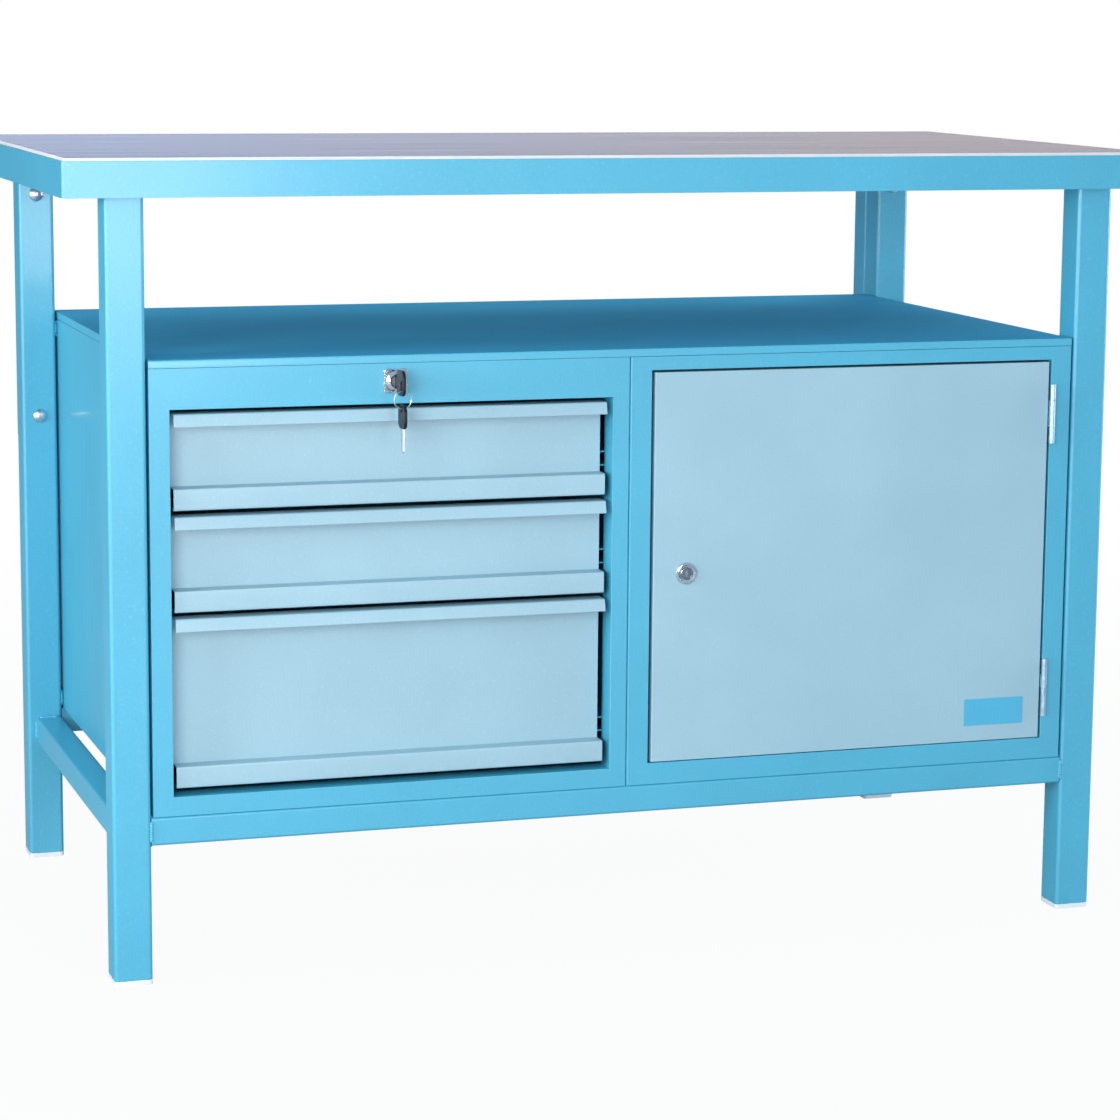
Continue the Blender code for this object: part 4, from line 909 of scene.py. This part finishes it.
def weld_lines():
    """Ends of every weld bead, from the boxes of the tubes that it joins."""
    lines = []
    inset = RAIL_WELD_INSET
    for side in SIDES:
        low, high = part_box(f"side_rail_{side}")
        for y in (low.y, high.y):
            for z in (high.z, low.z):
                lines.append(((low.x + inset, y, z), (high.x - inset, y, z)))
            for x in (low.x, high.x):
                lines.append(((x, y, low.z + inset), (x, y, high.z - inset)))
        for rail in ("front_rail", "rear_rail"):
            low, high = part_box(rail)
            x = low.x if side == "left" else high.x
            for z in (low.z, high.z):
                lines.append(((x, low.y + inset, z), (x, high.y - inset, z)))
            outer = low.y if rail == "front_rail" else high.y
            lines.append(((x, outer, low.z + inset), (x, outer, high.z - inset)))
        for row in ROWS:
            low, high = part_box(f"leg_{row}_{side}")
            for x in (low.x, high.x):
                lines.append(((x, low.y + LEG_WELD_INSET, high.z), (x, high.y - LEG_WELD_INSET, high.z)))
        for level in LEVELS:
            low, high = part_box(f"weld_tab_{side}_{level}")
            x = low.x if side == "left" else high.x
            lines.append(((x, low.y, low.z + TAB_WELD_INSET), (x, low.y, high.z - TAB_WELD_INSET)))
    return lines


class WORKBENCH_OT_shelf(bpy.types.Operator):
    """The folded sheet over both cabinets, with painted bluish shade on its upper face"""

    bl_idname = "workbench.shelf"
    bl_label = "Shelf sheet"

    def execute(self, context):
        sheet = softened("shelf_sheet", context.scene.bench_fittings.sheet_edge)
        paints = ("stand_paint", "shelf_shade_paint")
        settle(sheet, paints, body_of("shelf_sheet"), "stand_paint", "shelf_sheet")
        # Faces that look up get the painted shade, and the rest keep the stand's paint.
        for face in sheet.data.polygons:
            face.material_index = 1 if face.normal.z > SAME_WAY else 0
        return {"FINISHED"}


class WORKBENCH_OT_cabinets(bpy.types.Operator):
    """Front frames with rounded folds, sheet shells, runners and the locking bar"""

    bl_idname = "workbench.cabinets"
    bl_label = "Cabinets"

    def execute(self, context):
        radius = context.scene.bench_fittings.sheet_edge
        for node in ("drawer_cabinet_frame", "door_cabinet_frame"):
            low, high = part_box(node)
            face = low.y + SAME_PLACE
            frame_sheet = softened(node, 0.0)
            if node == "drawer_cabinet_frame":
                self.deepen(frame_sheet, high.y)
            rounded(
                frame_sheet, SEAM_ROUNDNESS * radius, 3,
                lambda edge: runs(edge, "Z") and back_of(edge) < face
                and abs(edge.verts[0].co.x) < SEAM_REACH,
            )
            rounded(
                frame_sheet, radius, 3,
                lambda edge: outward(edge) and back_of(edge) < face
                and abs(edge.verts[0].co.x) > SEAM_CLEARANCE * radius,
            )
            settle(frame_sheet, "stand_paint", body_of(node), "stand_paint", node)
        for node in ("drawer_cabinet_shell", "door_cabinet_shell"):
            dress(node, 0.0, "stand_paint")
        for node in RUNNER_NODES:
            dress(node, CUT_EDGE, "stand_paint")
        dress("lock_bar", CUT_EDGE, "zinc")
        return {"FINISHED"}

    def deepen(self, sheet, back):
        """Draw the returns of the drawers' opening back, and its right edge a little to the right."""
        shape_up(sheet)
        tips = max(v.co.y for v in sheet.data.vertices if v.co.y < back - RETURN_MARGIN)
        pick(sheet, "VERT", lambda vert: abs(vert.co.y - tips) < SAME_PLACE)
        bpy.ops.transform.translate(value=(0.0, back - tips, 0.0))
        pick(sheet, "VERT", lambda vert: OPENING_EDGE[0] < vert.co.x < OPENING_EDGE[1])
        bpy.ops.transform.translate(value=(OPENING_SHIFT, 0.0, 0.0))
        leave_shape()


class WORKBENCH_OT_drawers(bpy.types.Operator):
    """Folded drawer fronts with softened cut edges, and their sheet boxes"""

    bl_idname = "workbench.drawers"
    bl_label = "Drawers"

    def execute(self, context):
        for number in DRAWERS:
            dress(f"drawer_{number}_front", CUT_EDGE, "front_paint")
            dress(f"drawer_{number}_box", 0.0, "stand_paint")
        return {"FINISHED"}


class WORKBENCH_OT_door(bpy.types.Operator):
    """Folded door leaf with rounded folds, its hinges and a blank plate"""

    bl_idname = "workbench.door"
    bl_label = "Door and hinges"

    def execute(self, context):
        sizes = context.scene.bench_fittings
        low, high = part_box("door_leaf")
        face = low.y + DOOR_SKIN
        dress(
            "door_leaf", DOOR_FOLD, "front_paint", lambda edge: back_of(edge) < face and runs(edge, "X")
        )
        for node in HINGE_NODES:
            dress(node, HINGE_EDGE, "hinge_steel")
        left = high.x - PLATE_RIGHT - sizes.plate_length
        bottom = low.z + PLATE_RISE
        plate = block(
            "blank_plate", (left, low.y - PLATE_FACE, bottom),
            (left + sizes.plate_length, low.y + PLATE_SINK, bottom + sizes.plate_height),
        )
        rounded(plate, PLATE_CORNER, 4, lambda edge: runs(edge, "Y"))
        rounded(plate, PLATE_EDGE, 2, lambda edge: outward(edge) and back_of(edge) < low.y)
        settle(plate, "blank_plate", "door", None)
        return {"FINISHED"}


class WORKBENCH_OT_door_lock(bpy.types.Operator):
    """Cam lock: a bevelled rose, a darker plug with its keyway, and the cam"""

    bl_idname = "workbench.door_lock"
    bl_label = "Door lock"

    def execute(self, context):
        steps = context.scene.bench_fittings.round_steps
        low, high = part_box("door_lock_body")
        centre = middle(low, high)
        x, _, z = centre
        rose = (high.x - low.x) / 2
        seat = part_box("door_leaf")[0].y - CLOSE_GAP
        profile = [(ROSE_SHANK, high.y), (ROSE_SHANK, seat), (rose, seat)]
        profile += [(rose - cut, low.y + depth) for cut, depth in ROSE_BEVEL]
        profile += [(radius, low.y + depth) for radius, depth in ROSE_DISH]
        body = turned("door_lock_rose", profile, centre, "Y", steps)
        settle(body, "chrome", "door", "chrome", "door_lock_body")

        low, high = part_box("door_lock_plug")
        front = low.y
        profile = [(PLUG_FACE[0][0], high.y)]
        profile += [(radius, front + depth) for radius, depth in PLUG_FACE]
        plug = turned("door_lock_core", profile, centre, "Y", steps)
        blade = block(
            "cam_blade", (x - CAM_HALF, high.y - CAM_BACK[0], low.z),
            (x + CAM_HALF, high.y - CAM_BACK[1], z + CAM_TOP),
        )
        rounded(blade, CAM_CORNER, 5, lambda edge: runs(edge, "Y"))
        rounded(blade, CUT_EDGE, 2)
        for half, down, up, depth in KEYWAYS:
            slot_low = (x - half, front - SLOT_START, z - down)
            carve(plug, block("keyway", slot_low, (x + half, front + depth, z + up)))
        plug = joined("door_lock_core", plug, blade)
        settle(plug, "core_chrome", "door_cam", "chrome", "door_lock_plug")
        return {"FINISHED"}


class WORKBENCH_OT_drawer_lock(bpy.types.Operator):
    """Lock above the drawers: square chrome plate, stepped nose, plug and shaft"""

    bl_idname = "workbench.drawer_lock"
    bl_label = "Drawer lock"

    def execute(self, context):
        steps = context.scene.bench_fittings.round_steps
        low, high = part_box("drawer_lock_body")
        centre = middle(low, high)
        x, _, z = centre
        half = (high.x - low.x) / 2
        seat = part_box("drawer_cabinet_frame")[0].y - LOCK_SEAT_GAP
        plate_low = (x - half, seat - LOCK_PLATE, z - half)
        plate = block("drawer_lock_plate", plate_low, (x + half, seat, z + half))
        rounded(plate, LOCK_PLATE_CORNER, 5, lambda edge: runs(edge, "Y"))
        face = seat - LOCK_PLATE_FRONT
        rounded(plate, LOCK_PLATE_EDGE, 3, lambda edge: outward(edge) and back_of(edge) < face)
        profile = [(LOCK_PLATE_BORE, seat - BORE_REACH[0]), (LOCK_PLATE_BORE, seat + BORE_REACH[1])]
        carve(plate, turned("plate_bore", profile, centre, "Y", steps))
        profile = [(radius, low.y + depth) for radius, depth in NOSE_FRONT]
        profile += [(radius, seat - height) for radius, height in NOSE_COLLAR]
        profile += [(NOSE_RADIUS, high.y), (NOSE_BORE, high.y)]
        nose = turned("drawer_lock_nose", profile, centre, "Y", steps)
        shape_up(nose)
        pick(nose, "FACE", lambda end: len(end.verts) == steps and abs(end.normal.y) > SAME_WAY)
        bpy.ops.mesh.delete(type="FACE")
        pick(nose, "EDGE", lambda edge: edge.is_boundary)
        bpy.ops.mesh.bridge_edge_loops()
        bpy.ops.mesh.select_all(action="SELECT")
        bpy.ops.mesh.normals_make_consistent(inside=False)
        leave_shape()
        body = joined("drawer_lock_housing", plate, nose)
        settle(body, "chrome", "carcass", "chrome", "drawer_lock_body")
        dress("drawer_lock_plug", 0.0, "chrome")
        return {"FINISHED"}


class WORKBENCH_OT_keys(bpy.types.Operator):
    """Key in the lock, split ring and spare key, with moulded heads and cut blades"""

    bl_idname = "workbench.keys"
    bl_label = "Keys and ring"

    def execute(self, context):
        self.key("drawer_key", "drawer_lock", along="Y")
        self.key("spare_key", "spare", along="Z")
        self.ring()
        return {"FINISHED"}

    def key(self, node, body, along):
        """A moulded head with its eye, and a blade with its cuts."""
        low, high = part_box(node)
        x, _, z = middle(low, high)
        y = (low.y + high.y) / 2
        half = (high.x - low.x) / 2
        thin = BLADE_HALF_THICKNESS
        wide = BLADE_HALF_WIDTH
        if along == "Y":
            head_end, eye_start, eye_end, blade_start = (low.y + part for part in KEY_LENGTHS)
            head_low = (x - half, low.y, low.z)
            head_high = (x + half, head_end, high.z)
            eye_low = (x - 2 * half, eye_start, low.z + KEY_EYE[0])
            eye_high = (x + 2 * half, eye_end, low.z + KEY_EYE[1])
            blade_low = Vector((x - thin, blade_start, z - wide))
            blade_high = Vector((x + thin, high.y, z + wide))
            root, tip, axis, edge_axis = blade_low.y, blade_high.y, 1, 2
        else:
            head_end, eye_start, eye_end, blade_start = (high.z - part for part in SPARE_LENGTHS)
            head_low = (x - half, low.y, head_end)
            head_high = (x + half, high.y, high.z)
            eye_low = (x - 2 * half, y - SPARE_EYE, eye_end)
            eye_high = (x + 2 * half, y + SPARE_EYE, eye_start)
            blade_low = Vector((x - thin, y - wide, low.z))
            blade_high = Vector((x + thin, y + wide, blade_start))
            root, tip, axis, edge_axis = blade_high.z, blade_low.z, 2, 1
        head = block(node + "_head", head_low, head_high)
        rounded(head, HEAD_CORNER, 8, lambda edge: runs(edge, "X"))
        eye = block(node + "_eye", eye_low, eye_high)
        rounded(eye, EYE_CORNER, 8, lambda edge: runs(edge, "X"))
        carve(head, eye)
        rounded(head, HEAD_EDGE, 3)
        settle(head, "key_plastic", body, "key_plastic", node)

        blade = block(node + "_blade", blade_low, blade_high)
        shape_up(blade)
        pick(blade, "EDGE", lambda edge: runs(edge, along))
        bpy.ops.mesh.subdivide(number_cuts=len(KEY_CUTS) - 1)
        shape = bmesh.from_edit_mesh(blade.data)
        halfway = (blade_low[edge_axis] + blade_high[edge_axis]) / 2
        for vert in shape.verts:
            share = (vert.co[axis] - root) / (tip - root)
            step = min(len(KEY_CUTS) - 1, round(share * len(KEY_CUTS)))
            if vert.co[edge_axis] > halfway:
                vert.co[edge_axis] -= KEY_CUTS[step]
            elif share > NEAR_TIP:
                vert.co[edge_axis] += BLADE_TIP
        bmesh.update_edit_mesh(blade.data)
        leave_shape()
        rounded(blade, BLADE_EDGE, 1)
        settle(blade, "zinc", body, "zinc")

    def ring(self):
        """A split ring: two turns of flattened wire that lie on each other."""
        low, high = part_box("key_ring")
        centre = (low + high) / 2
        radius = (high.x - low.x) / 2 - RING_INSET
        curve = bpy.data.curves.new("key_ring_coil", "CURVE")
        curve.dimensions = "3D"
        curve.bevel_depth = RING_WIRE
        curve.bevel_resolution = 3
        curve.use_fill_caps = True
        spline = curve.splines.new("POLY")
        spline.points.add(RING_STEPS)
        for step, point in enumerate(spline.points):
            share = step / RING_STEPS
            angle = 2 * math.pi * RING_TURNS * share - math.pi / 3
            x = centre.x + radius * math.cos(angle)
            y = centre.y + (share - 0.5) * RING_RISE * RING_WIRE
            point.co = (x, y, centre.z + radius * math.sin(angle), 1.0)
        obj = bpy.data.objects.new("key_ring_coil", curve)
        bpy.context.scene.collection.objects.link(obj)
        take(obj)
        bpy.ops.object.convert(target="MESH")
        settle(bpy.context.object, "zinc", "ring", "zinc", "key_ring")


class WORKBENCH_OT_bolts(bpy.types.Operator):
    """Coach bolts with dome heads, washers, chamfered nuts and threaded ends"""

    bl_idname = "workbench.bolts"
    bl_label = "Coach bolts"

    def execute(self, context):
        steps = context.scene.bench_fittings.round_steps
        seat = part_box("leg_rear_left")[0].y - BOLT_SEAT_GAP
        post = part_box("rear_post_left")[1].y
        groove = THREAD_PITCH / 2
        for node in BOLT_NODES:
            low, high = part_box(node)
            centre = middle(low, high)
            profile = [(THREAD_TIP, high.y), (BOLT_SHANK, high.y - groove)]
            thread = high.y - THREAD_PITCH
            while thread > post + THREAD_START:
                profile += [(THREAD_ROOT, thread), (BOLT_SHANK, thread - groove)]
                thread -= THREAD_PITCH
            profile += [(THREAD_END[0], post + THREAD_END[1]), (BOLT_SHANK, post)]
            profile += [(BOLT_SHANK, seat), (DOME_RADIUS, seat)]
            height = seat - low.y
            for step in range(1, DOME_STEPS):
                angle = math.radians(90 * step / DOME_STEPS)
                profile.append((DOME_RADIUS * math.cos(angle), seat - height * math.sin(angle)))
            profile.append((DOME_TIP, low.y))
            bolt = turned(node + "_shank", profile, centre, "Y", steps)
            washer = turned(node + "_washer", disc(post, *WASHER), centre, "Y", steps)
            nut = turned(node + "_nut", disc(post, *NUT), centre, "Y", NUT_SIDES)
            whole = joined(node + "_dressed", bolt, washer, nut)
            settle(whole, "zinc", body_of(node), "zinc", node)
        return {"FINISHED"}


class WORKBENCH_OT_studio(bpy.types.Operator):
    """Pale floor, white surroundings, soft lamps and the camera"""

    bl_idname = "workbench.studio"
    bl_label = "Studio"

    def execute(self, context):
        look = context.scene.bench_studio
        self.floor(look)
        self.surroundings(context.scene, look)
        for name, (power, place, size, reflected) in LAMPS.items():
            lamp = self.lamp(name, getattr(look, power), Vector(place), size)
            lamp.visible_glossy = reflected
        self.camera(context.scene)
        context.scene.view_settings.view_transform = "Standard"
        return {"FINISHED"}

    def floor(self, look):
        """A wide floor that keeps a soft shadow near the bench and fades into white further out."""
        clear_selection()
        bpy.ops.mesh.primitive_circle_add(vertices=FLOOR_SIDES, radius=FLOOR_RADIUS, fill_type="NGON")
        floor = newest("floor")
        made = Finish("pale floor", 0.9, specular=0.0)
        made.drive("Base Color", (*look.floor, 1.0))
        glow = add_node(made.tree, "Emission", {"Color": WHITE})
        reach = add_node(made.tree, "VectorMath", {0: made.coordinates}, "Value", operation="LENGTH")
        white = spread(reach, *FLOOR_FADE, look.floor_glow, 1.0)
        seen = add_node(made.tree, "LightPath", {}, "Is Camera Ray")
        mixed = mix_surfaces(white * seen, made.surface, glow)
        fill(made.tree.nodes["Material Output"], {"Surface": mixed})
        floor.data.materials.append(made.material)

    def surroundings(self, scene, look):
        """White to the camera, dim and bluish as light, with a pale band low behind for reflections."""
        world = bpy.data.worlds.new("studio")
        scene.world = world
        world.use_nodes = True
        tree = world.node_tree
        direction = add_node(tree, "TexCoord", {}, "Generated")
        right, ahead, up = (add_node(tree, "SeparateXYZ", {0: direction}, axis) for axis in "XYZ")
        glossy = add_node(tree, "LightPath", {}, "Is Glossy Ray")
        seen = add_node(tree, "LightPath", {}, "Is Camera Ray")
        from_front = spread(up * AMBIENT_SLOPE[0] - ahead * AMBIENT_SLOPE[1], *AMBIENT_RANGE)
        dim = fill(tree.nodes["Background"], {"Strength": from_front, "Color": (*look.ambient, 1.0)})
        sides = [
            add_node(tree, "Background", {"Color": (*colour, 1.0), "Strength": look.backdrop_level})
            for colour in (look.backdrop_left, look.backdrop_right)
        ]
        backdrop = mix_surfaces(spread(right, *BAND_CHANGE, 0.0, 1.0), *sides)
        band = spread(up, *BAND_TOP, 1.0, 0.0) * spread(up, *BAND_BOTTOM, 0.0, 1.0)
        band = band * ahead.above(BAND_AHEAD)
        lit = mix_surfaces(band * glossy, dim, backdrop)
        white = add_node(tree, "Background", {"Color": WHITE})
        fill(tree.nodes["World Output"], {"Surface": mix_surfaces(seen, lit, white)})

    def lamp(self, name, power, place, size):
        """A square soft lamp that looks at the middle of the bench."""
        data = bpy.data.lights.new(name, "AREA")
        data.energy = power
        data.size = size
        lamp = bpy.data.objects.new(name, data)
        lamp.location = place
        lamp.rotation_euler = (LOOK_AT - place).to_track_quat("-Z", "Y").to_euler()
        bpy.context.scene.collection.objects.link(lamp)
        return lamp

    def camera(self, scene):
        """The photograph's viewpoint and lens."""
        sine, cosine = math.sin(CAMERA_PAN), math.cos(CAMERA_PAN)
        level = Vector((cosine, -sine, 0.0))
        ahead = Vector((sine, cosine, 0.0)) * math.cos(CAMERA_TILT)
        ahead.z = -math.sin(CAMERA_TILT)
        upright = level.cross(ahead)
        right = math.cos(CAMERA_ROLL) * level + math.sin(CAMERA_ROLL) * upright
        up = math.cos(CAMERA_ROLL) * upright - math.sin(CAMERA_ROLL) * level
        data = bpy.data.cameras.new("camera")
        data.sensor_width = SENSOR_WIDTH
        data.lens = FOCAL_PIXELS / PHOTO_WIDTH * SENSOR_WIDTH
        data.shift_x, data.shift_y = (part / PHOTO_WIDTH for part in MIDDLE_PIXELS)
        camera = bpy.data.objects.new("camera", data)
        turn = Matrix((right, up, -ahead)).transposed()
        camera.matrix_world = Matrix.Translation(CAMERA_PLACE) @ turn.to_4x4()
        scene.collection.objects.link(camera)
        scene.camera = camera


class WORKBENCH_PT_pieces(bpy.types.Panel):
    """The workbench's pieces and settings in the sidebar"""

    bl_idname = "WORKBENCH_PT_pieces"
    bl_label = "Workbench"
    bl_space_type = "VIEW_3D"
    bl_region_type = "UI"
    bl_category = "Workbench"

    def draw(self, context):
        layout = self.layout
        for group in GROUPS:
            settings = getattr(context.scene, group)
            box = layout.box()
            for name in settings.__annotations__:
                box.prop(settings, name)
        for operator in OPERATORS:
            layout.operator(operator.bl_idname)


GROUPS = {
    "bench_stand": StandFinish,
    "bench_front": FrontFinish,
    "bench_board": BoardFinish,
    "bench_fittings": FittingSizes,
    "bench_studio": StudioLook,
}
OPERATORS = (
    WORKBENCH_OT_studio,
    WORKBENCH_OT_board,
    WORKBENCH_OT_rim,
    WORKBENCH_OT_stand,
    WORKBENCH_OT_welds,
    WORKBENCH_OT_shelf,
    WORKBENCH_OT_cabinets,
    WORKBENCH_OT_drawers,
    WORKBENCH_OT_door,
    WORKBENCH_OT_door_lock,
    WORKBENCH_OT_drawer_lock,
    WORKBENCH_OT_keys,
    WORKBENCH_OT_bolts,
)


def register():
    for name, group in GROUPS.items():
        bpy.utils.register_class(group)
        setattr(bpy.types.Scene, name, PointerProperty(type=group))
    for operator in OPERATORS:
        bpy.utils.register_class(operator)
    bpy.utils.register_class(WORKBENCH_PT_pieces)


def unregister():
    bpy.utils.unregister_class(WORKBENCH_PT_pieces)
    for operator in reversed(OPERATORS):
        bpy.utils.unregister_class(operator)
    for name, group in GROUPS.items():
        delattr(bpy.types.Scene, name)
        bpy.utils.unregister_class(group)


def main():
    register()
    for operator in OPERATORS:
        family, action = operator.bl_idname.split(".")
        getattr(getattr(bpy.ops, family), action)()


if __name__ == "__main__":
    main()
